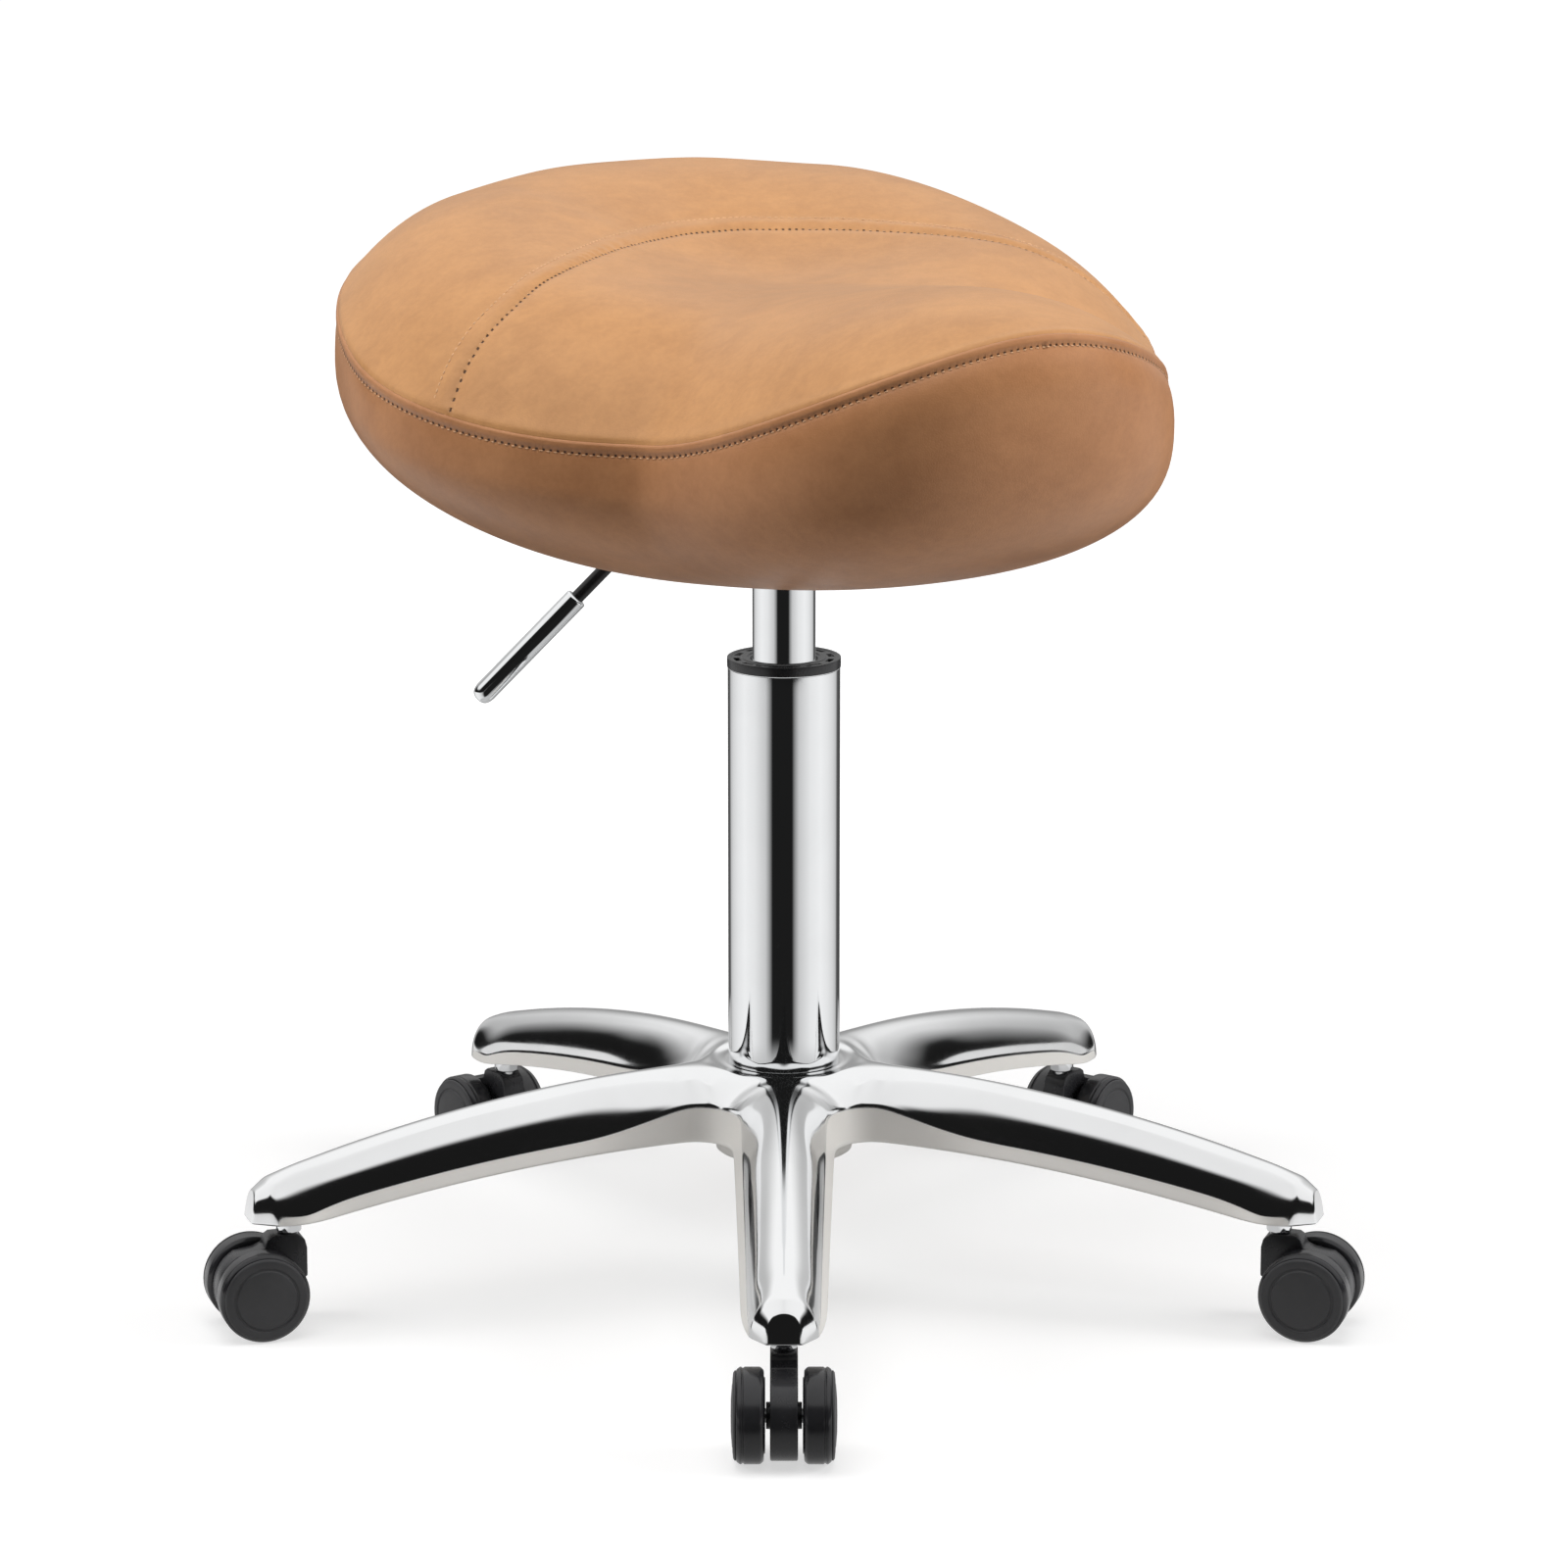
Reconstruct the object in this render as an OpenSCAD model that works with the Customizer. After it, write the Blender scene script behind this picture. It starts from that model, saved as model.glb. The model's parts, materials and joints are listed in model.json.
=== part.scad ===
// Saddle stool: a sewn saddle cushion on a gas lift column, five-leg cast base, twin-wheel casters.
// Millimetres, +Z up, floor at z = 0. The front of the seat (the pommel) looks along -Y.
// The origin lies on the floor under the middle of the footprint.

/* [Saddle outline] */
// Distance from the column axis to the edge seam at the pommel
pommel_r = 200; // [185:1:215]
// Distance to the edge seam at the thigh cut-outs
thigh_r = 151; // [140:1:170]
// Distance to the edge seam at the sides
side_r = 195; // [180:1:205]
// Distance to the edge seam at the rear
rear_r = 178; // [170:1:200]
// Angle from the pommel to the thigh cut-outs
thigh_at = 55; // [48:1:62]
// Angle from the pommel to the widest place at the sides
side_at = 102; // [95:1:120]

/* [Saddle heights] */
// Height of the edge seam over the underside at the pommel
pommel_rise = 121.5; // [105:0.5:135]
// Height of the edge seam over the underside at the thighs
thigh_rise = 70.5; // [62:0.5:85]
// Height of the edge seam over the underside at the rear corners
rear_rise = 123.5; // [105:0.5:135]
// Height of the edge seam over the underside at the middle of the rear
tail_rise = 132.5; // [110:0.5:140]
// Height of the middle of the seat over the underside
centre_rise = 118; // [100:0.5:130]
// Roll of padding over the seam at the pommel
pommel_roll = 12.5; // [6:0.5:18]
// Roll of padding over the seam at the rear
rear_roll = 35; // [18:0.5:40]
// Depth from the seam to the widest place of the side band
band_turn = 22; // [16:1:30]
// How far the side band swells past the seam at the sides
band_swell = 1.5; // [0.5:0.5:4]
// How far the side band swells past the seam at the pommel
pommel_swell = 7.5; // [4:0.5:10]

/* [Cushion build] */
// Thickness of the leather cover
cover_t = 2; // [1.5:0.1:2.5]
// Clearance between the cover, the foam and the board
soft_gap = 0.8; // [0.6:0.1:0.9]
// Radius where the underside turns into the recess
underside_r = 86; // [84:1:92]
// Depth of the recess under the seat, from the underside up to the board
recess_depth = 30; // [26:1:36]
// Thickness of the plywood board
board_t = 12; // [9:1:15]
// Size of the board as a share of the seat's outline
board_share = 0.78; // [0.7:0.01:0.84]

/* [Column] */
// Outside diameter of the column tube
column_d = 50; // [48:0.5:54]
// Wall of the column tube
column_wall = 1.5; // [1.2:0.1:2.5]
// Length of the column tube over the top of the hub
column_rise = 180.5; // [175:0.5:200]
// Depth of the column tube in the hub
column_seat = 41; // [38:0.5:43]
// Height of the black cap on the column
cap_h = 4.5; // [3:0.5:7]
// Length of the guide bush inside the column
bush_len = 64; // [50:1:75]
// Running clearance of shafts in their bores, on the radius
run_gap = 0.05; // [0.03:0.01:0.08]
// Clearance of pieces that sit in each other without moving, on the radius
fit_gap = 0.05; // [0.02:0.01:0.1]
// Clearance between faces that pass each other
face_gap = 0.3; // [0.2:0.05:0.5]

/* [Gas lift] */
// Outside diameter of the lift cylinder
cylinder_d = 28; // [25:0.5:30]
// Wall of the lift cylinder
cylinder_wall = 1.5; // [1.2:0.1:2]
// Length of the lift cylinder
cylinder_len = 270.5; // [266:0.5:285]
// Length of the taper at the cylinder's top
taper_len = 28; // [24:1:32]
// How much thinner the taper's end is than the cylinder, on the diameter
taper_drop = 1.5; // [1:0.1:2]
// Travel of the lift
lift_travel = 120; // [90:5:120]
// Diameter of the piston rod
rod_d = 10; // [8:0.5:11]
// Height of the rubber buffer
buffer_h = 8; // [6:0.5:10]
// Diameter of the bearing balls
ball_d = 3.8; // [3:0.1:4.5]
// Diameter of the valve button
button_d = 8; // [6:0.5:9]
// How far the valve button stands out of the cylinder
button_rise = 5; // [4:0.5:6]
// Travel of the valve button
button_travel = 3; // [2:0.25:3.5]

/* [Lever] */
// Direction of the lever seen from above, from +X
lever_turn = 148; // [130:1:160]
// Diameter of the lever rod
lever_d = 6; // [5:0.5:6.5]
// Diameter of the bright grip
grip_d = 10; // [9:0.5:12]
// Length of the bright grip
grip_len = 64; // [50:1:70]
// Distance from the column axis to the lever's pivot
pivot_r = 34; // [32:0.5:35]
// Distance from the column axis to the lever's bend
bend_r = 44; // [42:0.5:46]
// Droop of the lever past its bend
droop = 46; // [44:1:52]
// Length of the lever from its bend to the tip of the grip
lever_out = 118; // [105:1:130]
// Diameter of the pivot pin
pin_d = 5; // [4:0.5:5.5]

/* [Seat plate] */
// Width of the square seat plate
plate_w = 110; // [100:1:114]
// Thickness of the seat plate and its bracket
plate_t = 3; // [2.5:0.5:4]
// Spacing of the four bolts
bolt_pitch = 84; // [78:1:90]
// Diameter of the bolts
bolt_d = 6; // [5:1:8]
// Depth of the bracket under the seat plate
bracket_depth = 23; // [21:1:25]
// Wall of the taper socket
socket_wall = 5; // [4:0.5:5]

/* [Base] */
// Number of legs
legs = 5; // [5]
// Turn of the base under the seat at rest
base_turn = 4; // [0:1:71]
// Distance from the column axis to the end of a leg
leg_r = 248; // [240:1:270]
// Height of the underside of the leg's end over the floor
tip_z = 52; // [52:0.5:56]
// Height of the hub's top over the underside of the leg's end
hub_rise = 51; // [47:0.5:58]
// Width of a leg near the hub
root_w = 37; // [34:1:40]
// Width of a leg at its end
tip_w = 29; // [27:1:31]
// Height of a leg's end
tip_h = 23; // [21:0.5:25]
// Height of the skirt under a leg's side
skirt_h = 7; // [5:0.5:8]
// How far the skirt stands out beside a leg near the hub
skirt_out = 4; // [2:0.25:4.5]
// Wall of the casting
cast_wall = 4; // [3:0.5:5]
// Radius of the fillet between two legs
crotch_r = 22; // [16:1:26]

/* [Casters] */
// Diameter of a caster wheel
wheel_d = 40; // [38:0.5:42]
// Width of a caster wheel
wheel_w = 12; // [10:0.5:13]
// Gap between a wheel and the caster's body
wheel_gap = 2; // [1.5:0.25:3]
// Width of the caster's body
body_w = 11.5; // [11.5:0.5:14]
// Distance from the stem back to the axle
trail = 15; // [13:0.5:16]
// Diameter of the stem in the leg
stem_d = 10; // [9:0.5:10.5]
// Diameter of the stem's pivot in the caster's body
pivot_d = 8; // [7:0.5:8]
// Diameter of the axle
axle_d = 6; // [5:0.5:7]
// Swell of the wheel cover
cover_dome = 2.2; // [1.5:0.1:3]

/* [Hidden] */
$fn = 64;
FINE = 96;
SEG = 48;

SIDES = ["left", "right"];

// Places of the legs and casters seen from the column
leg_step = 360 / legs;
half_step = leg_step / 2;
function leg_at(n) = 90 + base_turn + (n - 1) * leg_step;
stem_r = leg_r - 18.5;
wheel_r = wheel_d / 2;
caster_half = body_w / 2 + wheel_gap + wheel_w + cover_dome;

// The column stands where the footprint of the casters is centred on the origin
reach_r = stem_r + trail + wheel_r;
function span(c, s) = reach_r * c + caster_half * abs(s);
east = max([for (n = [1:legs]) span(cos(leg_at(n)), sin(leg_at(n)))]);
west = max([for (n = [1:legs]) span(-cos(leg_at(n)), sin(leg_at(n)))]);
north = max([for (n = [1:legs]) span(sin(leg_at(n)), cos(leg_at(n)))]);
south = max([for (n = [1:legs]) span(-sin(leg_at(n)), cos(leg_at(n)))]);
column_x = (west - east) / 2;
column_y = (south - north) / 2;

// Heights, from the floor up
hub_z = tip_z + hub_rise;
column_r = column_d / 2;
bore_r = column_r - column_wall;
column_z0 = hub_z - column_seat;
column_z1 = hub_z + column_rise;
end_t = 3;
race_t = 1.5;
race_z = column_z0 + end_t;
ball_z = race_z + race_t;
upper_z = ball_z + ball_d + run_gap * 2;
buffer_z = upper_z + race_t;
cylinder_z0 = buffer_z + buffer_h + face_gap;
cylinder_z1 = cylinder_z0 + cylinder_len;
socket_z0 = cylinder_z1 - taper_len;
bracket_z = socket_z0 + 17;
plate_z = bracket_z + bracket_depth;
board_z = plate_z + plate_t;
seat_z = board_z - recess_depth;
button_z = cylinder_z1 + button_rise;
lever_z = button_z + face_gap + 1.5;

// Rod and piston
rod_r = rod_d / 2;
race_r = 12;
ball_ring_r = (rod_r + race_r) / 2 + 0.2;
clip_t = 1.2;
clip_z = column_z0 - face_gap - clip_t;
rod_z0 = clip_z - 3;
gland_h = 18;
piston_h = 12;
piston_z = cylinder_z0 + gland_h + lift_travel + 7;
cylinder_r = cylinder_d / 2;
chamber_r = cylinder_r - cylinder_wall;
seal_r = chamber_r - run_gap;
seal_h = 3;
button_r = button_d / 2;

// Lever and bracket
tongue_t = 3;
hub_r = pin_d / 2 + 2.4;
bend_k = 14;
bracket_in = 40;
bracket_w = bracket_in + 2 * plate_t;
bracket_back = 30;
bracket_front = 44;
socket_r = cylinder_r + socket_wall;

// Cushion
recess_r = underside_r - 4;

module at_column() { translate([column_x, column_y, 0]) children(); }
module at_leg(n) { at_column() rotate(leg_at(n)) children(); }
module on_lever() { at_column() rotate(lever_turn) children(); }
module tube(r_out, r_in, z0, z1) {
    translate([0, 0, z0]) difference() {
        cylinder(r = r_out, h = z1 - z0, $fn = FINE);
        translate([0, 0, -1]) cylinder(r = r_in, h = z1 - z0 + 2, $fn = FINE);
    }
}

// A closed skin through rings of equal length, from pole a to pole b.
// Each ring runs anticlockwise as seen from outside pole a.
module skin(a, rings, b) {
    n = len(rings[0]);
    m = len(rings);
    points = concat([a], [for (r = rings, p = r) p], [b]);
    function at(k, j) = 1 + k * n + j % n;
    faces = concat(
        [for (j = [0:n-1]) [0, at(0, j + 1), at(0, j)]],
        [for (k = [0:m-2], j = [0:n-1]) [at(k, j), at(k, j + 1), at(k + 1, j + 1)]],
        [for (k = [0:m-2], j = [0:n-1]) [at(k, j), at(k + 1, j + 1), at(k + 1, j)]],
        [for (j = [0:n-1]) [1 + n * m, at(m - 1, j), at(m - 1, j + 1)]]);
    polyhedron(points, faces, convexity = 6);
}

// Saddle form. Angles t run from the pommel, 0, to the rear, 180, alike on both sides.
function clamp(u) = max(0, min(1, u));
function ease(u) = u * u * (3 - 2 * u);
function step_to(t, a, b, g) = ease(pow(clamp((t - a) / (b - a)), g));
function station(t, at, v, g) =
    v[0] + (v[1] - v[0]) * step_to(t, at[0], at[1], g[0])
         + (v[2] - v[1]) * step_to(t, at[1], at[2], g[1])
         + (v[3] - v[2]) * step_to(t, at[2], at[3], g[2]);
function fold(t) = t > 180 ? 360 - t : t;
function edge_r(t) = station(fold(t), [0, thigh_at, side_at, 180],
    [pommel_r, thigh_r, side_r, rear_r], [1.5, 0.8, 1.35]);
function edge_rise(t) = station(fold(t), [0, thigh_at, 141, 180],
    [pommel_rise, thigh_rise, rear_rise, tail_rise], [1, 1.2, 1]);
function roll_h(t) = station(fold(t), [0, 40, 161, 180],
    [pommel_roll, pommel_roll - 0.5, rear_roll, rear_roll - 1.5], [1, 0.86, 1]);
ROLL_P = 1.7;
ROLL_Q = 2.4;
roll_top = pow(ROLL_P / (ROLL_P + ROLL_Q), 1 / ROLL_Q);
function roll(u) = pow(u, ROLL_P) * (1 - pow(u, ROLL_Q))
    / (pow(roll_top, ROLL_P) * (1 - pow(roll_top, ROLL_Q)));
function top_rise(u, t) = centre_rise + (edge_rise(t) - centre_rise) * u * u + roll_h(t) * roll(u);
function swell(t) = station(fold(t), [0, 60, 120, 180],
    [pommel_swell, band_swell, band_swell, band_swell], [1, 1, 1]);
// Fullness of the underside's curve, across and down
function bowl_r(t) = station(fold(t), [0, 75, 180, 181], [1.5, 1.25, 1.6, 1.6], [1, 1, 1]);
function bowl_z(t) = station(fold(t), [0, 75, 180, 181], [3.2, 1.55, 2.7, 2.7], [1, 1, 1]);

TOP_STEPS = [0.2, 0.4, 0.55, 0.68, 0.78, 0.86, 0.93, 0.97, 1];
function top_line(t) = [for (u = TOP_STEPS) [edge_r(t) * u, top_rise(u, t)]];
function band_line(t) = let (r = edge_r(t), z = edge_rise(t), w = swell(t))
    [for (u = [0.05, 0.35, 0.7, 1]) [r + w * sin(90 * u), z - band_turn * u]];
function bowl_line(t) = let (r = edge_r(t) + swell(t), z = edge_rise(t) - band_turn)
    [for (a = [15, 30, 45, 60, 75, 90])
        [underside_r + (r - underside_r) * pow(cos(a), 2 / bowl_r(t)),
         z * (1 - pow(sin(a), 2 / bowl_z(t)))]];
function recess_line() = [[recess_r + 0.8, 1.2], [recess_r, 4], [recess_r, recess_depth - 1.5]];
function side_line(t) = concat(band_line(t), bowl_line(t), recess_line());

// A line of the profile moved inwards by d, square to itself
function inset(p, d) = [for (i = [0:len(p)-1])
    let (a = p[max(i - 1, 0)], b = p[min(i + 1, len(p) - 1)], v = (b - a) / norm(b - a))
    p[i] + d * [v[1], -v[0]]];
function turned(p, t) = [p[0] * sin(t), -p[0] * cos(t), seat_z + p[1]];
ANGLES = [for (k = [0:SEG-1]) k * 360 / SEG];
function ring_of(lines, i) = [for (k = [0:SEG-1]) turned(lines[k][i], ANGLES[k])];
function rings_of(lines) = [for (i = [0:len(lines[0])-1]) ring_of(lines, i)];
function pole(z) = [0, 0, seat_z + z];
function backwards(v) = [for (i = [len(v)-1:-1:0]) v[i]];

// Leg form, at distance s from the column axis
SLOPE = 1.9;
leg_run = 190;
leg_s0 = 35;
crotch_l = (root_w / 2 + crotch_r) / sin(half_step);
crotch_s = crotch_l * cos(half_step);
meet_s = (crotch_l - crotch_r) * cos(half_step);
nose_len = 14;
nose_s = leg_r - nose_len;
function leg_fall(s) = pow(clamp((s - leg_s0) / leg_run), SLOPE);
function leg_top(s) = hub_z + 1 - (hub_rise + 1 - tip_h - 0.5) * leg_fall(s);
function leg_bottom(s) = tip_z + 0.5 + 23 * (1 - leg_fall(s));
function skirt(s) = min(skirt_h * (1 + 1.2 * pow(1 - clamp((s - leg_s0) / leg_run), 2)),
    0.45 * (leg_r - 6 - s));
function leg_crease(s) = leg_bottom(s) + max(3, skirt(s));
function leg_foot(s) = skirt_out * (1 - 0.4 * clamp((s - crotch_s) / (leg_r - crotch_s)));
function leg_half(s) = s <= meet_s ? s * tan(half_step) + 0.6
    : s < crotch_s ? crotch_l * sin(half_step) - sqrt(crotch_r * crotch_r - pow(s - crotch_s, 2))
    : tip_w / 2 + (root_w - tip_w) / 2 * (1 - (s - crotch_s) / (leg_r - crotch_s));
// Half of the section is an arch over a skirt that leans out to its foot
function arch(s, w, top, crease) = [for (a = [0, 20, 40, 58, 74, 90])
    [s, w * sin(a), crease + (top - crease) * pow(cos(a), 0.9)]];
function section(s, w, foot, top, crease, low) = let (half = arch(s, w, top, crease))
    concat(half, [[s, foot, low], [s, 0, low], [s, -foot, low]],
        [for (i = [len(half)-1:-1:1]) [s, -half[i][1], half[i][2]]]);
function leg_section(s) = section(s, leg_half(s), leg_half(s) + leg_foot(s), leg_top(s),
    leg_crease(s), leg_bottom(s));
function nose_section(a) = let (s = nose_s + nose_len * sin(a), k = cos(a), low = leg_bottom(nose_s),
        w = leg_half(nose_s) * pow(k, 0.8))
    section(s, w, w + leg_foot(nose_s) * k, low + (leg_top(nose_s) - low) * pow(k, 0.55),
        low + 3.5 * k, low + 1.5 * (1 - k));
function hollow_section(s) = let (w = leg_half(s) - cast_wall)
    section(s, w, w - 0.5 + leg_foot(s) * clamp((s - crotch_s) / 20), leg_top(s) - cast_wall - 1,
        leg_crease(s) - 1, leg_bottom(s) - 3);
LEG_STEPS = [30, meet_s, 42, 48, crotch_s, 66, 84, 106, 130, 155, 180, 204, 220, nose_s];
HOLLOW_STEPS = [34, meet_s + 3, 48, crotch_s, 84, 120, 155, 185, 212];

module leg() {
    rings = concat([for (s = LEG_STEPS) leg_section(s)], [for (a = [25, 45, 62, 76]) nose_section(a)]);
    end = rings[len(rings) - 1];
    skin([rings[0][0][0], 0, (hub_z + tip_z) / 2 + 10], rings, [end[0][0], 0, (end[0][2] + end[7][2]) / 2]);
}
module leg_hollow() {
    rings = [for (s = HOLLOW_STEPS) hollow_section(s)];
    end = rings[len(rings) - 1];
    skin([rings[0][0][0], 0, leg_bottom(leg_s0) + 5], rings, [end[0][0], 0, leg_bottom(212) + 3]);
}
hub_skirt_r = crotch_l - crotch_r;
module hub() {
    low = leg_bottom(leg_s0);
    rotate_extrude($fn = FINE) polygon([
        [column_r + fit_gap, column_z0],
        [column_r + 6, column_z0],
        [column_r + 6, hub_z - 17],
        [hub_skirt_r - 6, low + 4],
        [hub_skirt_r - 5, low],
        [hub_skirt_r, low],
        [hub_skirt_r, low + 10],
        [hub_skirt_r - 4, low + 16],
        [column_r + 8, hub_z - 5],
        [column_r + 2.5, hub_z],
        [column_r + fit_gap, hub_z]]);
}
socket_z1 = tip_z + 18;
sleeve_r = stem_d / 2 + 1.5;
module star_base() {
    color("gainsboro") at_column() difference() {
        union() {
            hub();
            for (n = [1:legs]) rotate(leg_at(n)) leg();
        }
        for (n = [1:legs]) rotate(leg_at(n)) leg_hollow();
        translate([0, 0, column_z0 - 20]) cylinder(r = column_r + fit_gap, h = hub_rise + 60, $fn = FINE);
        for (n = [1:legs]) rotate(leg_at(n)) translate([stem_r, 0, tip_z - 5])
            cylinder(r = sleeve_r + fit_gap, h = socket_z1 + 0.5 - tip_z + 5);
    }
}
module caster_sockets() {
    color("black") for (n = [1:legs]) at_leg(n) translate([stem_r, 0, 0]) {
        tube(sleeve_r, stem_d / 2 + fit_gap, tip_z + 0.5, socket_z1);
        tube(sleeve_r + 1.5, stem_d / 2 + fit_gap, tip_z - 1, tip_z + 0.5);
    }
}
body_z1 = wheel_d + 4;
// A bead on the stem snaps into a groove of the caster's body
bead = 0.6;
bead_h = 1.5;
bead_z = wheel_r + 9;
module caster_stems() {
    color("silver") for (n = [1:legs]) at_leg(n) translate([stem_r, 0, 0]) {
        translate([0, 0, wheel_r + 6]) cylinder(r = pivot_d / 2, h = body_z1 - wheel_r - 5);
        translate([0, 0, bead_z]) cylinder(r = pivot_d / 2 + bead, h = bead_h);
        translate([0, 0, body_z1 + face_gap]) cylinder(r1 = stem_d / 2, r2 = stem_d / 2 + 0.6, h = 0.6);
        translate([0, 0, body_z1 + face_gap + 0.6])
            cylinder(r = stem_d / 2 + 0.6, h = tip_z - 1.6 - body_z1 - face_gap);
        translate([0, 0, tip_z - 1]) cylinder(r = stem_d / 2, h = socket_z1 - tip_z);
        translate([0, 0, socket_z1 - 1]) cylinder(r1 = stem_d / 2, r2 = stem_d / 2 - 1, h = 1);
    }
}

module column_tube() {
    color("lightgray") at_column() tube(column_r, bore_r, column_z0, column_z1);
}
module column_end_plate() {
    color("silver") at_column()
        tube(bore_r - fit_gap, rod_r + run_gap, column_z0, column_z0 + end_t);
}
cap_lip = 4;
bush_r = cylinder_r + run_gap;
module column_cap() {
    color("dimgray") at_column() difference() {
        translate([0, 0, column_z1]) rotate_extrude($fn = FINE) polygon([
            [bush_r + 1, 0], [column_r + 0.3, 0], [column_r + 0.3, cap_h - 1.2],
            [column_r - 0.9, cap_h], [bush_r + 1, cap_h]]);
        for (k = [0:9]) rotate(k * 36) translate([(column_r + bush_r) / 2 + 1.5, 0, column_z1 + cap_h])
            cube([2.4, 6, 3], center = true);
    }
}
module guide_bush() {
    color("whitesmoke") at_column() difference() {
        tube(bore_r - fit_gap, bush_r, column_z1 - bush_len, column_z1);
        for (k = [0:5]) rotate(k * 60) translate([bore_r, 0, column_z1 - bush_len / 2])
            cube([5, 6, bush_len - 16], center = true);
    }
}

module bearing_lower_race() {
    color("silver") at_column() tube(race_r, rod_r + face_gap, race_z, race_z + race_t);
}
module bearing_balls() {
    color("white") at_column() for (k = [0:9]) rotate(k * 36)
        translate([ball_ring_r, 0, ball_z + ball_d / 2]) sphere(d = ball_d, $fn = 24);
}
module bearing_upper_race() {
    color("silver") at_column() tube(race_r, rod_r + fit_gap, upper_z, upper_z + race_t);
}
module piston_rod() {
    color("lightgray") at_column() difference() {
        translate([0, 0, rod_z0]) cylinder(r = rod_r, h = piston_z + piston_h + 3 - rod_z0);
        tube(rod_r + 2, rod_r - 1, clip_z - fit_gap, clip_z + clip_t + fit_gap);
    }
}
module rod_clip() {
    color("dimgray") at_column() difference() {
        tube(rod_r + 4, rod_r - 1 + fit_gap, clip_z, clip_z + clip_t);
        translate([0, -2, clip_z - 1]) cube([rod_r + 6, 4, clip_t + 2]);
    }
}
module lift_buffer() {
    color("black") at_column() translate([0, 0, buffer_z]) rotate_extrude($fn = FINE) polygon([
        [rod_r + fit_gap, 0], [race_r, 0], [race_r, buffer_h - 2], [race_r - 2, buffer_h],
        [rod_r + fit_gap, buffer_h]]);
}
module piston() {
    color("gold") at_column() difference() {
        tube(seal_r - 0.2, rod_r + fit_gap, piston_z, piston_z + piston_h);
        tube(seal_r + 1, seal_r - 2.5, piston_z + (piston_h - seal_h) / 2,
            piston_z + (piston_h + seal_h) / 2);
    }
}
module piston_seal() {
    z = piston_z + (piston_h - seal_h) / 2 + fit_gap;
    color("black") at_column() tube(seal_r, seal_r - 2.5 + fit_gap, z, z + seal_h - 2 * fit_gap);
}

taper_r = cylinder_r - taper_drop / 2;
button_low = button_travel + 1.5;
module lift_cylinder() {
    color("silver") at_column() difference() {
        union() {
            translate([0, 0, cylinder_z0]) cylinder(r = cylinder_r, h = cylinder_len - taper_len, $fn = FINE);
            translate([0, 0, socket_z0]) cylinder(r1 = cylinder_r, r2 = taper_r, h = taper_len, $fn = FINE);
        }
        translate([0, 0, cylinder_z0 - 1])
            cylinder(r = chamber_r, h = cylinder_len - taper_len - 2, $fn = FINE);
        translate([0, 0, cylinder_z1 - button_low - 3.5]) cylinder(r = button_r + run_gap, h = 40);
    }
}
module cylinder_gland() {
    color("black") at_column() tube(chamber_r - fit_gap, rod_r + run_gap, cylinder_z0, cylinder_z0 + gland_h);
}
module valve_button() {
    color("gold") at_column() {
        translate([0, 0, cylinder_z1 - button_low + 1])
            cylinder(r = button_r, h = button_rise + button_low - 2);
        translate([0, 0, button_z - 1]) cylinder(r1 = button_r, r2 = button_r - 1.5, h = 1);
    }
}
module taper_socket() {
    color("black") at_column() difference() {
        translate([0, 0, socket_z0]) cylinder(r = socket_r, h = taper_len - 2, $fn = FINE);
        translate([0, 0, socket_z0]) cylinder(r1 = cylinder_r + fit_gap, r2 = taper_r + fit_gap,
            h = taper_len, $fn = FINE);
        translate([0, 0, socket_z0 - 1]) cylinder(r = cylinder_r + fit_gap, h = 1.01, $fn = FINE);
    }
}
bolt_r = bolt_d / 2;
module at_bolts() {
    for (i = [-1, 1], j = [-1, 1]) translate([i * bolt_pitch / 2, j * bolt_pitch / 2, 0]) children();
}
module rounded_plate(w, d, r, h) {
    linear_extrude(h) union() {
        square([w - 2 * r, d], center = true);
        square([w, d - 2 * r], center = true);
        for (i = [-1, 1], j = [-1, 1]) translate([i * (w / 2 - r), j * (d / 2 - r)]) circle(r);
    }
}
module seat_plate() {
    color("dimgray") on_lever() difference() {
        union() {
            translate([0, 0, plate_z]) rounded_plate(plate_w, plate_w, 12, plate_t);
            translate([-bracket_back, -bracket_w / 2, bracket_z])
                cube([bracket_back + bracket_front, bracket_w, bracket_depth + 0.01]);
        }
        translate([-bracket_back - 1, -bracket_in / 2, bracket_z + plate_t])
            cube([bracket_back + bracket_front + 2, bracket_in, bracket_depth]);
        translate([0, 0, bracket_z - 1]) cylinder(r = socket_r + fit_gap, h = plate_t + 2, $fn = FINE);
        translate([pivot_r, 0, lever_z]) rotate([90, 0, 0])
            cylinder(r = pin_d / 2 + fit_gap, h = bracket_w + 2, center = true);
        at_bolts() translate([0, 0, plate_z - 1]) cylinder(r = bolt_r + 0.3, h = plate_t + 2);
    }
}
head_h = 4;
module plate_bolts() {
    color("silver") on_lever() at_bolts() {
        translate([0, 0, plate_z - head_h]) cylinder(r = bolt_d * 0.9, h = head_h, $fn = 6);
        translate([0, 0, plate_z - 0.01]) cylinder(r = bolt_r, h = plate_t + board_t - 2);
    }
}
nut_r = bolt_r + 1.5;
module board_nuts() {
    color("lightgray") on_lever() at_bolts() {
        tube(nut_r, bolt_r + fit_gap, board_z + 2, board_z + board_t - 1.5);
        tube(nut_r + 5, bolt_r + fit_gap, board_z + board_t - 1.5, board_z + board_t);
    }
}
module board_outline(grow) {
    polygon([for (t = ANGLES) (edge_r(t) * board_share + grow) * [sin(t), -cos(t)]]);
}
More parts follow.
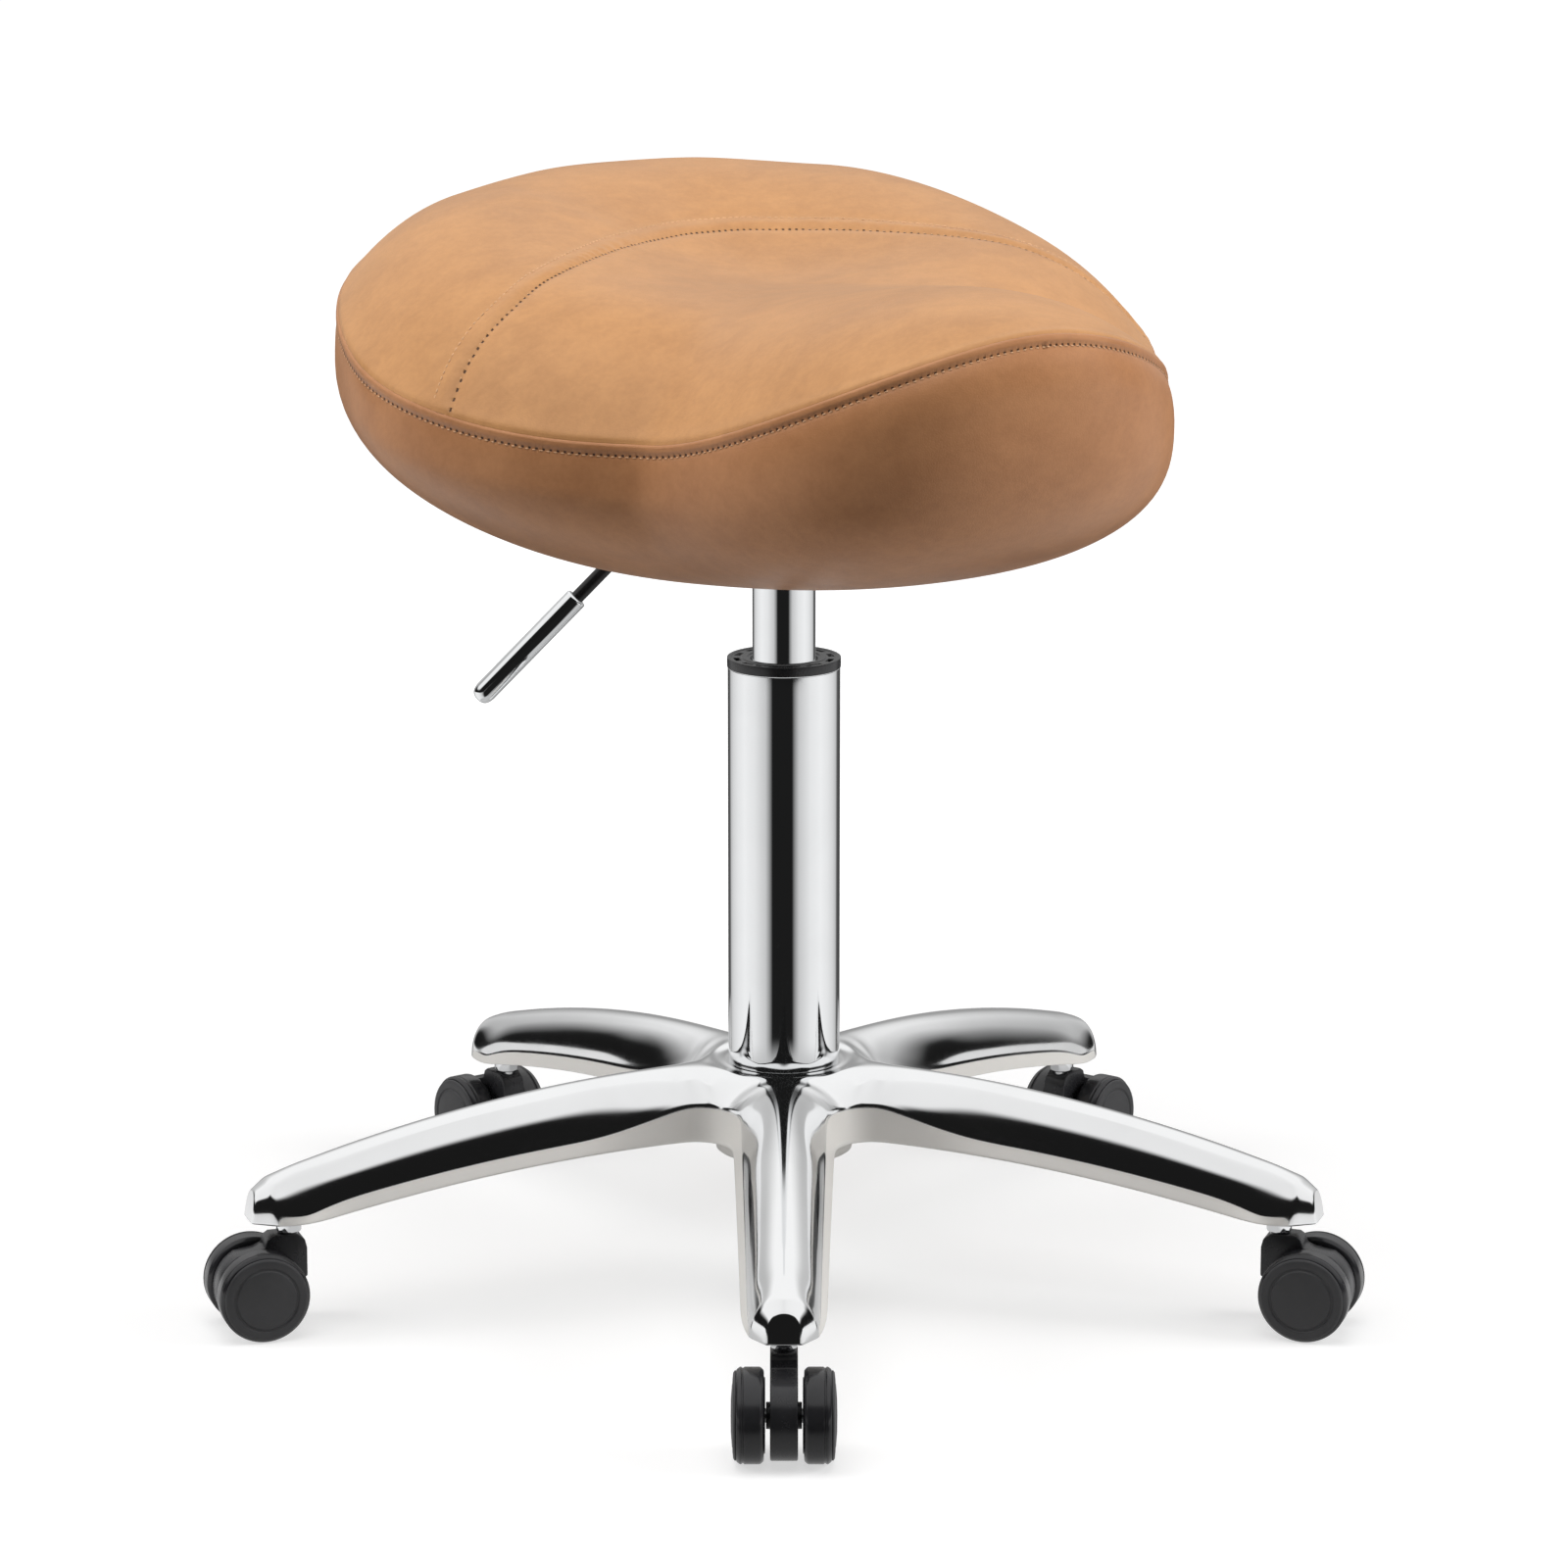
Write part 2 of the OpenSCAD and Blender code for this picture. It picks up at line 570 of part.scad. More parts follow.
module seat_board() {
    color("burlywood") at_column() difference() {
        translate([0, 0, board_z]) linear_extrude(board_t) board_outline(0);
        rotate(lever_turn) at_bolts() {
            translate([0, 0, board_z - 1]) cylinder(r = nut_r + fit_gap, h = board_t + 2);
            translate([0, 0, board_z + board_t - 1.5 - fit_gap]) cylinder(r = nut_r + 5 + fit_gap, h = 3);
        }
    }
}

// Cushion: foam moulded round the board, under a sewn cover of a top and a side band
foam_inset = cover_t + soft_gap;
function foam_line(t) = let (b = edge_r(t) * board_share + soft_gap)
    concat(inset(concat(top_line(t), side_line(t)), foam_inset),
        [[b, recess_depth - soft_gap], [b, recess_depth + board_t + soft_gap]]);
module seat_foam() {
    lines = [for (t = ANGLES) foam_line(t)];
    color("khaki") at_column()
        skin(pole(centre_rise - foam_inset), rings_of(lines), pole(recess_depth + board_t + soft_gap));
}
module cover_top() {
    lines = [for (t = ANGLES) concat(top_line(t), backwards(inset(top_line(t), cover_t)))];
    color("peru") at_column() skin(pole(centre_rise), rings_of(lines), pole(centre_rise - cover_t));
}
module cover_band() {
    lines = [for (t = ANGLES) let (p = side_line(t)) concat(p, backwards(inset(p, cover_t)), [p[0]])];
    color("sienna") at_column() hoop(rings_of(lines));
}
// A closed band through rings, the last ring being the first again
module hoop(rings) {
    n = len(rings[0]);
    m = len(rings) - 1;
    points = [for (k = [0:m-1], p = rings[k]) p];
    function at(k, j) = (k % m) * n + j % n;
    polyhedron(points, concat(
        [for (k = [0:m-1], j = [0:n-1]) [at(k, j), at(k, j + 1), at(k + 1, j + 1)]],
        [for (k = [0:m-1], j = [0:n-1]) [at(k, j), at(k + 1, j + 1), at(k + 1, j)]]), convexity = 6);
}

module lever_pin() {
    color("silver") on_lever() translate([pivot_r, 0, lever_z]) rotate([90, 0, 0]) union() {
        cylinder(r = pin_d / 2, h = bracket_w + 3, center = true);
        for (i = [-1, 1]) translate([0, 0, i * (bracket_w / 2 + 1)])
            cylinder(r = pin_d / 2 + 1.5, h = 1.6, center = true);
    }
}
// The lever runs out level, bends and droops to the grip. Its straight parts reach 1 mm into
// the bend, which is a little thicker.
bend_z = lever_z - bend_k * (1 - cos(droop));
bend_x = bend_r + bend_k * sin(droop);
module along_droop() { translate([bend_x, 0, bend_z]) rotate([0, 90 + droop, 0]) children(); }
module lever_rod() {
    color("black") on_lever() difference() {
        union() {
            translate([-button_r - 1, -5, lever_z - 1.5]) cube([pivot_r + button_r, 10, tongue_t]);
            translate([pivot_r, 0, lever_z]) rotate([90, 0, 0])
                cylinder(r = hub_r, h = bracket_in - 2 * face_gap, center = true);
            translate([pivot_r, 0, lever_z]) rotate([0, 90, 0])
                cylinder(d = lever_d, h = bend_r - pivot_r + 1);
            translate([bend_r, 0, lever_z - bend_k]) rotate([90, 0, 0]) rotate([0, 0, 90 - droop])
                rotate_extrude(angle = droop) translate([bend_k, 0]) circle(d = lever_d + 0.12);
            along_droop() translate([0, 0, -1]) cylinder(d = lever_d, h = lever_out - 11);
        }
        translate([pivot_r, 0, lever_z]) rotate([90, 0, 0])
            cylinder(r = pin_d / 2 + run_gap, h = bracket_in, center = true);
    }
}
module lever_grip() {
    color("gainsboro") on_lever() along_droop() difference() {
        translate([0, 0, lever_out - grip_len]) rotate_extrude() polygon(concat(
            [[0, 0], [grip_d / 2 - 0.3, 0], [grip_d / 2, 0.3], [grip_d / 2, grip_len - 5]],
            [for (a = [15:15:75]) [grip_d / 2 * pow(cos(a), 0.7), grip_len - 5 + 5 * sin(a)]],
            [[0, grip_len]]));
        translate([0, 0, lever_out - grip_len - 1]) cylinder(r = lever_d / 2 + fit_gap, h = grip_len - 11);
    }
}

// Casters: the body swivels on the stem, the wheels run on a fixed axle
module across(y) { translate([stem_r + trail, y, wheel_r]) rotate([-90, 0, 0]) children(); }
module caster_body(n) {
    color("black") at_leg(n) difference() {
        union() {
            across(-body_w / 2) cylinder(r = wheel_r - 3, h = body_w);
            translate([stem_r - pivot_d / 2 - 3, -body_w / 2, wheel_r + 4])
                cube([trail + pivot_d / 2 + 3, body_w, body_z1 - wheel_r - 8]);
            translate([stem_r - pivot_d / 2, -body_w / 2, body_z1 - 5])
                cube([trail + pivot_d / 2 - 5, body_w, 5]);
            translate([stem_r - pivot_d / 2, body_w / 2, body_z1 - 4]) rotate([90, 0, 0])
                intersection() {
                    cylinder(r = 4, h = body_w);
                    translate([-3, -4, -1]) cube([8, 8, body_w + 2]);
                }
        }
        across(-body_w / 2 - 1) cylinder(r = axle_d / 2 + fit_gap, h = body_w + 2);
        translate([stem_r, 0, wheel_r + 5.5]) cylinder(r = pivot_d / 2 + run_gap, h = wheel_d);
        translate([stem_r, 0, bead_z - face_gap])
            cylinder(r = pivot_d / 2 + bead + run_gap, h = bead_h + 2 * face_gap);
    }
}
axle_half = body_w / 2 + wheel_gap + wheel_w - 2;
module caster_axle(n) {
    color("silver") at_leg(n) across(-axle_half) cylinder(r = axle_d / 2, h = 2 * axle_half);
}
hub_y = body_w / 2 + face_gap;
wheel_y = body_w / 2 + wheel_gap;
dish_r = wheel_r - 4;
module sided(side) { mirror([0, side == "left" ? 0 : 1, 0]) children(); }
module caster_wheel(n, side) {
    edge = 1.6;
    color("black") at_leg(n) sided(side) across(0) rotate_extrude($fn = FINE) polygon([
        [axle_d / 2 + run_gap, hub_y], [axle_d / 2 + 2.5, hub_y], [axle_d / 2 + 2.5, wheel_y],
        [wheel_r - edge, wheel_y], [wheel_r - edge * 0.3, wheel_y + edge * 0.3], [wheel_r, wheel_y + edge],
        [wheel_r, wheel_y + wheel_w - edge], [wheel_r - edge * 0.3, wheel_y + wheel_w - edge * 0.3],
        [wheel_r - edge, wheel_y + wheel_w], [dish_r, wheel_y + wheel_w], [dish_r, wheel_y + 4],
        [axle_d / 2 + 3, wheel_y + 4], [axle_d / 2 + 3, wheel_y + wheel_w - 2.5],
        [axle_d / 2 + run_gap, wheel_y + wheel_w - 2.5]]);
}
module caster_cover(n, side) {
    y = wheel_y + wheel_w + 0.02;
    rim = wheel_r - 1.5;
    color("black") at_leg(n) sided(side) across(0) rotate_extrude($fn = FINE) polygon([
        [0, y - 0.8], [dish_r - 2, y - 0.8], [dish_r - 2, y - 3], [dish_r - fit_gap, y - 3],
        [dish_r - fit_gap, y],
        [rim, y], [rim, y + 0.4], [wheel_r * 0.72, y + cover_dome * 0.62],
        [wheel_r * 0.7, y + cover_dome * 0.45],
        [wheel_r * 0.64, y + cover_dome * 0.45], [wheel_r * 0.62, y + cover_dome * 0.72],
        [wheel_r * 0.3, y + cover_dome * 0.96], [0, y + cover_dome]]);
}

star_base();
caster_sockets();
caster_stems();
column_tube();
column_end_plate();
column_cap();
guide_bush();
bearing_lower_race();
bearing_balls();
bearing_upper_race();
piston_rod();
piston();
piston_seal();
lift_buffer();
rod_clip();
lift_cylinder();
cylinder_gland();
taper_socket();
seat_plate();
plate_bolts();
board_nuts();
seat_board();
seat_foam();
cover_top();
cover_band();
lever_pin();
lever_rod();
lever_grip();
valve_button();
for (n = [1:legs]) {
    caster_body(n);
    caster_axle(n);
    for (s = SIDES) {
        caster_wheel(n, s);
        caster_cover(n, s);
    }
}
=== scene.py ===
# Saddle stool: the looks of every piece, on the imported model's frame.
# Shapes are made in millimetres round the foot of the column and put in place in metres.
import json
from math import atan2, cos, degrees, hypot, pi, radians, sin, sqrt, tau

import bmesh
import bpy
from mathutils import Matrix, Vector, kdtree
from mathutils.geometry import interpolate_bezier


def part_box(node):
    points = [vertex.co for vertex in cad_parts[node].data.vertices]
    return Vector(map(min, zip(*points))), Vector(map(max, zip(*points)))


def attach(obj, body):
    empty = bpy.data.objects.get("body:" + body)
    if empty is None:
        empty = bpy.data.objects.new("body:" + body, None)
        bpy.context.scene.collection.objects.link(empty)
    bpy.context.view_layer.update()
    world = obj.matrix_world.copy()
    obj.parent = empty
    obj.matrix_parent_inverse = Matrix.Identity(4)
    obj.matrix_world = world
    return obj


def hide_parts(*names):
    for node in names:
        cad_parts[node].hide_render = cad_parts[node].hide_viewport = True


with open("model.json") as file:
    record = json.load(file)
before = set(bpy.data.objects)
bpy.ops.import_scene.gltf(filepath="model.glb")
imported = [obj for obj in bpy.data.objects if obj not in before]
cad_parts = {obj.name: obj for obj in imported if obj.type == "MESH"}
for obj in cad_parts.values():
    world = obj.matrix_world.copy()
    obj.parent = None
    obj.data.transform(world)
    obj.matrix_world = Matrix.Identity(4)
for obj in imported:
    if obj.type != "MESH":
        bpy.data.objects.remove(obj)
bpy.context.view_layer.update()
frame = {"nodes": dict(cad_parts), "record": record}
print("stage: frame loaded,", len(frame["nodes"]), "nodes")

columnMount = frame["record"]["mounts"][0]["pos_m"]
atColumn = Matrix.Translation((columnMount[0], columnMount[1], 0)) @ Matrix.Scale(0.001, 4)
turns = {"firstLeg": 94, "legStep": 72, "lever": 148}     # about the column, in degrees


def turned(angle):
    return atColumn @ Matrix.Rotation(radians(angle), 4, "Z")


def atLeg(number):
    return turned(turns["firstLeg"] + turns["legStep"] * (number - 1))


# Shader maths as plain expressions
class Wire:
    def __init__(self, tree, socket=None):
        self.tree, self.socket = tree, socket

    def node(self, kind, settings=(), sockets=(), output=0):
        made = self.tree.nodes.new("ShaderNode" + kind)
        for name, value in dict(settings).items():
            setattr(made, name, value)
        for name, value in dict(sockets).items():
            if isinstance(value, Wire):
                self.tree.links.new(value.socket, made.inputs[name])
            else:
                made.inputs[name].default_value = value
        return Wire(self.tree, made.outputs[output]) if made.outputs else self

    def maths(self, operation, first, second=0.0):
        return self.node("Math", {"operation": operation}, {0: first, 1: second})

    def __add__(self, other):
        return self.maths("ADD", self, other)

    __radd__ = __add__

    def __sub__(self, other):
        return self.maths("SUBTRACT", self, other)

    def __rsub__(self, other):
        return self.maths("SUBTRACT", other, self)

    def __mul__(self, other):
        return self.maths("MULTIPLY", self, other)

    def __truediv__(self, other):
        return self.maths("DIVIDE", self, other)

    def __abs__(self):
        return self.maths("ABSOLUTE", self)

    def stretch(self, low, high, newLow=0.0, newHigh=1.0):
        settings = {"interpolation_type": "SMOOTHSTEP"}
        return self.node("MapRange", settings, {0: self, 1: low, 2: high, 3: newLow, 4: newHigh})

    # Mixes two wires or tints by this wire
    def mixed(self, *ends):
        first, second = [end if isinstance(end, Wire) else (*end, 1) for end in ends]
        return self.node("Mix", {"data_type": "RGBA"}, {0: self, 6: first, 7: second}, 2)


def shaded(tint, share):
    return [part * share for part in tint]


# A material, its wire and the place in the object
def newMaterial(name):
    material = bpy.data.materials.new(name)
    material.use_nodes = True
    material.node_tree.nodes.clear()
    wire = Wire(material.node_tree)
    return material, wire, wire.node("TexCoord", {}, {}, "Object")


def closeMaterial(material, wire, tint, rough, height, others=()):
    sockets = {"Base Color": tint, "Roughness": rough, **dict(others)}
    if height:
        sockets["Normal"] = wire.node("Bump", {}, {"Height": height, "Distance": 0.001, "Strength": 1.0})
    shader = wire.node("BsdfPrincipled", {}, sockets)
    wire.node("OutputMaterial", {}, {"Surface": shader})
    return material


def noise(wire, where, *values):
    sockets = dict(zip(("Scale", "Detail", "Roughness", "Distortion"), values))
    return wire.node("TexNoise", {}, {"Vector": where, **sockets}, "Fac")


def attribute(wire, name):
    return wire.node("Attribute", {"attribute_name": name}, {}, "Fac")


# Whether the camera or a mirror sees the surface
def rays(wire):
    return [wire.node("LightPath", {}, {}, f"Is {kind} Ray") for kind in ("Camera", "Glossy")]


# Stitches of the seams in mm. The holes in the leather have the same pitch.
stitches = {
    "pitch": 3.04, "start": 0.3,
    "hem": (1.7, 0.62), "inner": (1.5, 0.5), "outer": (2.2, 0.75),  # length and thickness of each row
}
leatherLook = {
    "topTones": ((0.510, 0.248, 0.098), (0.655, 0.332, 0.136)),
    # the band's tones are painted shade: the top's leather made darker and deeper for the sides that the top light
    # reaches less
    "shadedBandTones": ((0.430, 0.190, 0.080), (0.560, 0.262, 0.116)),
    # hole: near-black colour, painted shade inside the stitch holes
    "hole": (0.045, 0.020, 0.010), "rough": 0.38, "level": 0.42,
    "slant": {"Rotation": (0.5, 0.2, 0.5), "Scale": (0.7, 1.2, 1.0)},
    # scale, detail, roughness and distortion of each noise
    "clouds": (20.0, 4.0, 0.55, 0.5), "patches": (95.0, 4.0, 0.65, 0.3), "flecks": (420.0, 3.0, 0.6),
    "grain": (1500.0, 2.0, 0.6), "waves": (240.0, 3.0, 0.55), "pores": 800.0,
}


# One coat of leather, with a row of stitch holes at a distance from its seam, in mm. The holes have painted shade
# in their colour.
def leather(name, tones, acrossName, alongName, row):
    look = leatherLook
    material, wire, where = newMaterial(name)
    slanted = wire.node("Mapping", {}, {"Vector": where, **look["slant"]})
    clouds, patches = [noise(wire, slanted, *look[kind]) for kind in ("clouds", "patches")]
    flecks, grain, waves = [noise(wire, where, *look[kind]) for kind in ("flecks", "grain", "waves")]
    tone = clouds.stretch(0.32, 0.68) * 0.46 + patches.stretch(0.32, 0.68) * 0.34 + flecks.stretch(0.3, 0.7) * 0.20
    pores = wire.node("TexVoronoi", {"feature": "DISTANCE_TO_EDGE"}, {"Vector": where, "Scale": look["pores"]})
    across, along = attribute(wire, acrossName), attribute(wire, alongName)
    beat = wire.maths("FRACT", along / stitches["pitch"])
    inHole = 1.0 - abs(beat - 0.5).stretch(0.12, 0.22)
    hole = inHole * (1.0 - abs(across - row).stretch(0.28, 0.62))
    # painted shade: the stitch holes are darkened in the colour as well as dented by the bump
    shade = (hole * 0.9).mixed(tone.mixed(*tones), look["hole"])
    pull = (1.0 - abs(across - row).stretch(0.0, 2.2)) * (0.65 + inHole * 0.35)
    height = grain * 0.025 + pores.stretch(0.0, 0.25) * 0.022 + waves * 0.05 - pull * 0.35 - hole * 0.5
    rough = look["rough"] + (clouds - 0.5) * 0.16 + (grain - 0.5) * 0.08
    return closeMaterial(material, wire, shade, rough, height, {"Specular IOR Level": look["level"]})


# Bright metals with faint smudges, dull and pale where the named attribute is 1
def brightMetal(name, tint, rough, smudge, plainShare=""):
    material, wire, where = newMaterial(name)
    film = noise(wire, where, 22.0, 4.0, 0.6, 0.4).stretch(0.35, 0.75)
    fine = noise(wire, where, 700.0, 2.0)
    shade = (film * 0.5).mixed(tint, shaded(tint, 0.94))
    gloss = rough + film * smudge + (fine - 0.5) * smudge * 0.3
    metallic, height = 1.0, None
    if plainShare:
        plain = attribute(wire, plainShare).stretch(0.03, 0.13)
        shade = plain.mixed(shade, (0.95, 0.93, 0.89))
        gloss = gloss + plain * (0.40 - gloss + fine * 0.12)
        metallic, height = 1.0 - plain * 0.70, plain * fine * 0.02
    return closeMaterial(material, wire, shade, gloss, height, {"Metallic": metallic})


# Plain metals
def plainMetal(name, tint, rough):
    material, wire, where = newMaterial(name)
    lines = noise(wire, where, 900.0, 3.0, 0.7)
    spots = noise(wire, where, 60.0, 3.0)
    tone = spots.stretch(0.3, 0.7) * 0.6 + lines * 0.4
    shade, gloss = tone.mixed(shaded(tint, 0.8), tint), rough + (lines - 0.5) * 0.15
    return closeMaterial(material, wire, shade, gloss, lines * 0.02, {"Metallic": 1.0})


# Plastics, rubber and paint
def moulded(name, tint, rough, texture=0.01, scale=900.0):
    material, wire, where = newMaterial(name)
    fine = noise(wire, where, scale, 3.0, 0.6)
    film = noise(wire, where, 45.0, 4.0, 0.6).stretch(0.35, 0.7)
    shade, gloss = film.mixed(tint, shaded(tint, 1.25)), rough + film * 0.07 + (fine - 0.5) * 0.06
    return closeMaterial(material, wire, shade, gloss, fine * texture)


def plywood(name):
    material, wire, where = newMaterial(name)
    long = wire.node("Mapping", {}, {"Vector": where, "Scale": (6.0, 60.0, 6.0)})
    rings = noise(wire, long, 6.0, 4.0, 0.6, 1.2)
    pores = noise(wire, wire.node("Mapping", {}, {"Vector": where, "Scale": (60.0, 900.0, 60.0)}), 1.0, 3.0)
    tone = rings.stretch(0.3, 0.7) * 0.7 + pores * 0.3
    shade, rough = tone.mixed((0.40, 0.24, 0.11), (0.62, 0.43, 0.24)), 0.62 + (pores - 0.5) * 0.2
    return closeMaterial(material, wire, shade, rough, pores * 0.1 + rings * 0.05)


def openFoam(name):
    material, wire, where = newMaterial(name)
    cells = wire.node("TexVoronoi", {}, {"Vector": where, "Scale": 900.0})
    return closeMaterial(material, wire, cells.mixed((0.78, 0.70, 0.46), (0.86, 0.80, 0.58)), 0.9, cells * 0.3)


topLeather = leather("topLeather", leatherLook["topTones"], "paneAcross", "paneAlong", -1.1)
# the band's leather is the top's leather with painted shade in its colour
shadedBandLeather = leather("shadedBandLeather", leatherLook["shadedBandTones"], "seamAcross", "seamAlong", 5.0)
thread = moulded("sewingThread", (0.70, 0.43, 0.24), 0.55, 0.05, 2500.0)
chrome = brightMetal("chromePlate", (0.90, 0.91, 0.92), 0.035, 0.035)
casting = brightMetal("polishedCasting", (0.90, 0.905, 0.91), 0.085, 0.04, "skirtShare")
zinc = plainMetal("zincSteel", (0.62, 0.63, 0.64), 0.35)
blackSteel = moulded("blackPaint", (0.012, 0.012, 0.013), 0.28, 0.006, 600.0)
blackPlastic = moulded("blackPlastic", (0.020, 0.020, 0.022), 0.24, 0.006, 1300.0)
wheelPlastic = moulded("wheelPlastic", (0.020, 0.020, 0.022), 0.15, 0.004, 1500.0)
coverPlastic = moulded("coverPlastic", (0.044, 0.044, 0.046), 0.42, 0.02, 2200.0)
palePlastic = moulded("paleAcetal", (0.72, 0.72, 0.69), 0.4)
rubber = moulded("blackRubber", (0.02, 0.02, 0.02), 0.7, 0.03, 500.0)
brass = plainMetal("turnedBrass", (0.72, 0.52, 0.22), 0.28)
boardWood = plywood("boardWood")
paddingFoam = openFoam("paddingFoam")
print("stage: materials made")


def pairs(verts, closed):
    return list(zip(verts, verts[1:])) + ([(verts[-1], verts[0])] if closed else [])


def faceOut(bm):
    bmesh.ops.recalc_face_normals(bm, faces=bm.faces)


def weld(bm, near):
    bmesh.ops.remove_doubles(bm, verts=bm.verts, dist=near)


# A strip of faces from row to row of points, by extruding edges
def sweep(bm, rows, closed=False):
    laid = [[bm.verts.new(point) for point in rows[0]]]
    edges = [bm.edges.new(pair) for pair in pairs(laid[0], closed)]
    for row in rows[1:]:
        made = bmesh.ops.extrude_edge_only(bm, edges=edges)["geom"]
        fresh = {part for part in made if isinstance(part, bmesh.types.BMVert)}
        verts = [next(far for far in (edge.other_vert(vert) for edge in vert.link_edges) if far in fresh)
                 for vert in laid[-1]]
        for vert, point in zip(verts, row):
            vert.co = point
        edges = [bm.edges.get(pair) for pair in pairs(verts, closed)]
        laid.append(verts)
    return laid


# Turns a profile of (radius, height), its corners rounded, about Z
def spun(points, radius, steps, closed=False, corners=3):
    bm = bmesh.new()
    verts = [bm.verts.new((x, 0, z)) for x, z in rounded(points, radius, corners, closed)]
    edges = [bm.edges.new(pair) for pair in pairs(verts, closed)]
    bmesh.ops.spin(bm, geom=verts + edges, axis=(0, 0, 1), angle=tau, steps=steps, use_merge=True)
    weld(bm, 0.0005)
    faceOut(bm)
    return bm


# Rounds a profile's corners, apart from nearly straight ones
def rounded(points, radius, steps, closed):
    made = []
    for i, corner in enumerate(points):
        here = Vector(corner)
        back, ahead = Vector(points[i - 1]) - here, Vector(points[(i + 1) % len(points)]) - here
        if not closed and i in (0, len(points) - 1) or degrees(back.angle(ahead)) > 165:
            made.append(tuple(here))
            continue
        reach = min(radius, back.length * 0.45, ahead.length * 0.45)
        start, end = here + back.normalized() * reach, here + ahead.normalized() * reach
        for k in range(steps + 1):
            u = k / steps
            made.append(tuple(start * (1 - u) ** 2 + here * 2 * u * (1 - u) + end * u * u))
    return made


# Bevels every edge that is sharper than an angle
def soften(bm, width, angle=30):
    limit = radians(angle)
    edges = [edge for edge in bm.edges if len(edge.link_faces) == 2 and edge.calc_face_angle(0) > limit]
    bmesh.ops.bevel(bm, geom=edges, offset=width, segments=3, profile=0.5, affect="EDGES", clamp_overlap=True)


# A flat outline in X and Z, made a plate across Y
def plate(outline, low, high):
    bm = bmesh.new()
    face = bm.faces.new([bm.verts.new((x, low, z)) for x, z in outline])
    made = bmesh.ops.extrude_face_region(bm, geom=[face], use_keep_orig=True)["geom"]
    bmesh.ops.translate(bm, vec=(0, high - low, 0), verts=[v for v in made if isinstance(v, bmesh.types.BMVert)])
    faceOut(bm)
    return bm


def layers(bm, *names):
    return [bm.verts.layers.float.new(name) for name in names]


def meshOf(bm, name):
    mesh = bpy.data.meshes.new(name)
    bm.to_mesh(mesh)
    bm.free()
    return mesh


def joined(*parts):
    whole = bmesh.new()
    for part in parts:
        mesh = meshOf(part, "part")
        whole.from_mesh(mesh)
        bpy.data.meshes.remove(mesh)
    return whole


def added(name, data):
    made = bpy.data.objects.new(name, data)
    bpy.context.scene.collection.objects.link(made)
    return made


def makePiece(name, bm, place, material, body, stands, sharp=35):
    bm.transform(place)
    if place.determinant() < 0:
        bmesh.ops.reverse_faces(bm, faces=bm.faces)
    mesh = meshOf(bm, name)
    mesh.polygons.foreach_set("use_smooth", [True] * len(mesh.polygons))
    if sharp:
        mesh.set_sharp_from_angle(angle=radians(sharp))
    mesh.materials.append(material)
    piece = added(name, mesh)
    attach(piece, body)
    if stands:
        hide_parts(*stands)
    return piece


def runsOf(points):
    runs = [0.0]
    for a, b in zip(points, points[1:]):
        runs.append(runs[-1] + (b - a).length)
    return runs


def polar(radius, angle):
    return radius * cos(radians(angle)), radius * sin(radians(angle))


def vectors(points):
    return [Vector(point) for point in points]


# Saddle form, the same as the solid's. Angles run from the pommel, 0, to the rear, 180.
saddle = {
    "edgeRadius": ((0, 55, 102, 180), (200, 151, 195, 178), (1.5, 0.8, 1.35)),
    "edgeRise": ((0, 55, 141, 180), (121.5, 70.5, 123.5, 132.5), (1, 1.2, 1)),
    "roll": ((0, 40, 161, 180), (12.5, 12, 35, 33.5), (1, 0.86, 1)),
    "swell": ((0, 60, 120, 180), (7.5, 1.5, 1.5, 1.5), (1, 1, 1)),
    "bowlAcross": ((0, 75, 180, 181), (1.5, 1.25, 1.6, 1.6), (1, 1, 1)),
    "bowlDown": ((0, 75, 180, 181), (3.2, 1.55, 2.7, 2.7), (1, 1, 1)),
    "middle": 118, "rollIn": 1.7, "rollOut": 2.4, "bandTurn": 22,
    "rim": 86, "recess": 82, "depth": 30, "around": 480,
    "hem": -0.35,           # depth of the edge seam
    "strip": 0.5,           # swell of the strip between seam and stitches
    "stripFlat": 2.6,       # where the strip starts to fall
    "stitchRow": 5.0,       # from the seam down to the row of stitches
    "rowDraw": 0.45,        # depth of the row
    "paneDraw": 0.85,       # depth of the horseshoe seam's inner line
    "paneRidge": 0.55,      # swell between its two lines
    "outerDraw": 0.35,      # depth of its outer line
    "paneOut": 8.0,         # from the inner line to the outer one
    # the inner line in plan, from one edge to its middle at the rear
    "paneLine": ((-190, -33), (-181, -24), (-170, -17), (-156, -11.5), (-139, -6), (-121, 3), (-103, 12.5),
                 (-80, 27), (-54, 43.5), (-27, 56), (0, 60.5)),
}
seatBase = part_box("seat_board")[0].z * 1000 - saddle["depth"]


def station(angle, name):
    places, values, skews = saddle[name]
    angle = 360 - angle if angle > 180 else angle
    made = values[0]
    for i in range(3):
        u = max(0.0, min(1.0, (angle - places[i]) / (places[i + 1] - places[i]))) ** skews[i]
        made += (values[i + 1] - values[i]) * u * u * (3 - 2 * u)
    return made


rollPeak = (saddle["rollIn"] / (saddle["rollIn"] + saddle["rollOut"])) ** (1 / saddle["rollOut"])


def rollShape(u):
    def plain(v):
        return v ** saddle["rollIn"] * (1 - v ** saddle["rollOut"])
    return plain(u) / plain(rollPeak)


def saddlePoint(angle, radius, rise):
    turn = radians(angle)
    return Vector((radius * sin(turn), -radius * cos(turn), seatBase + rise))


# Height of the top over the underside, at a share u of the way to the edge
def topRise(angle, u):
    edge = station(angle, "edgeRise")
    return saddle["middle"] + (edge - saddle["middle"]) * u * u + station(angle, "roll") * rollShape(u)


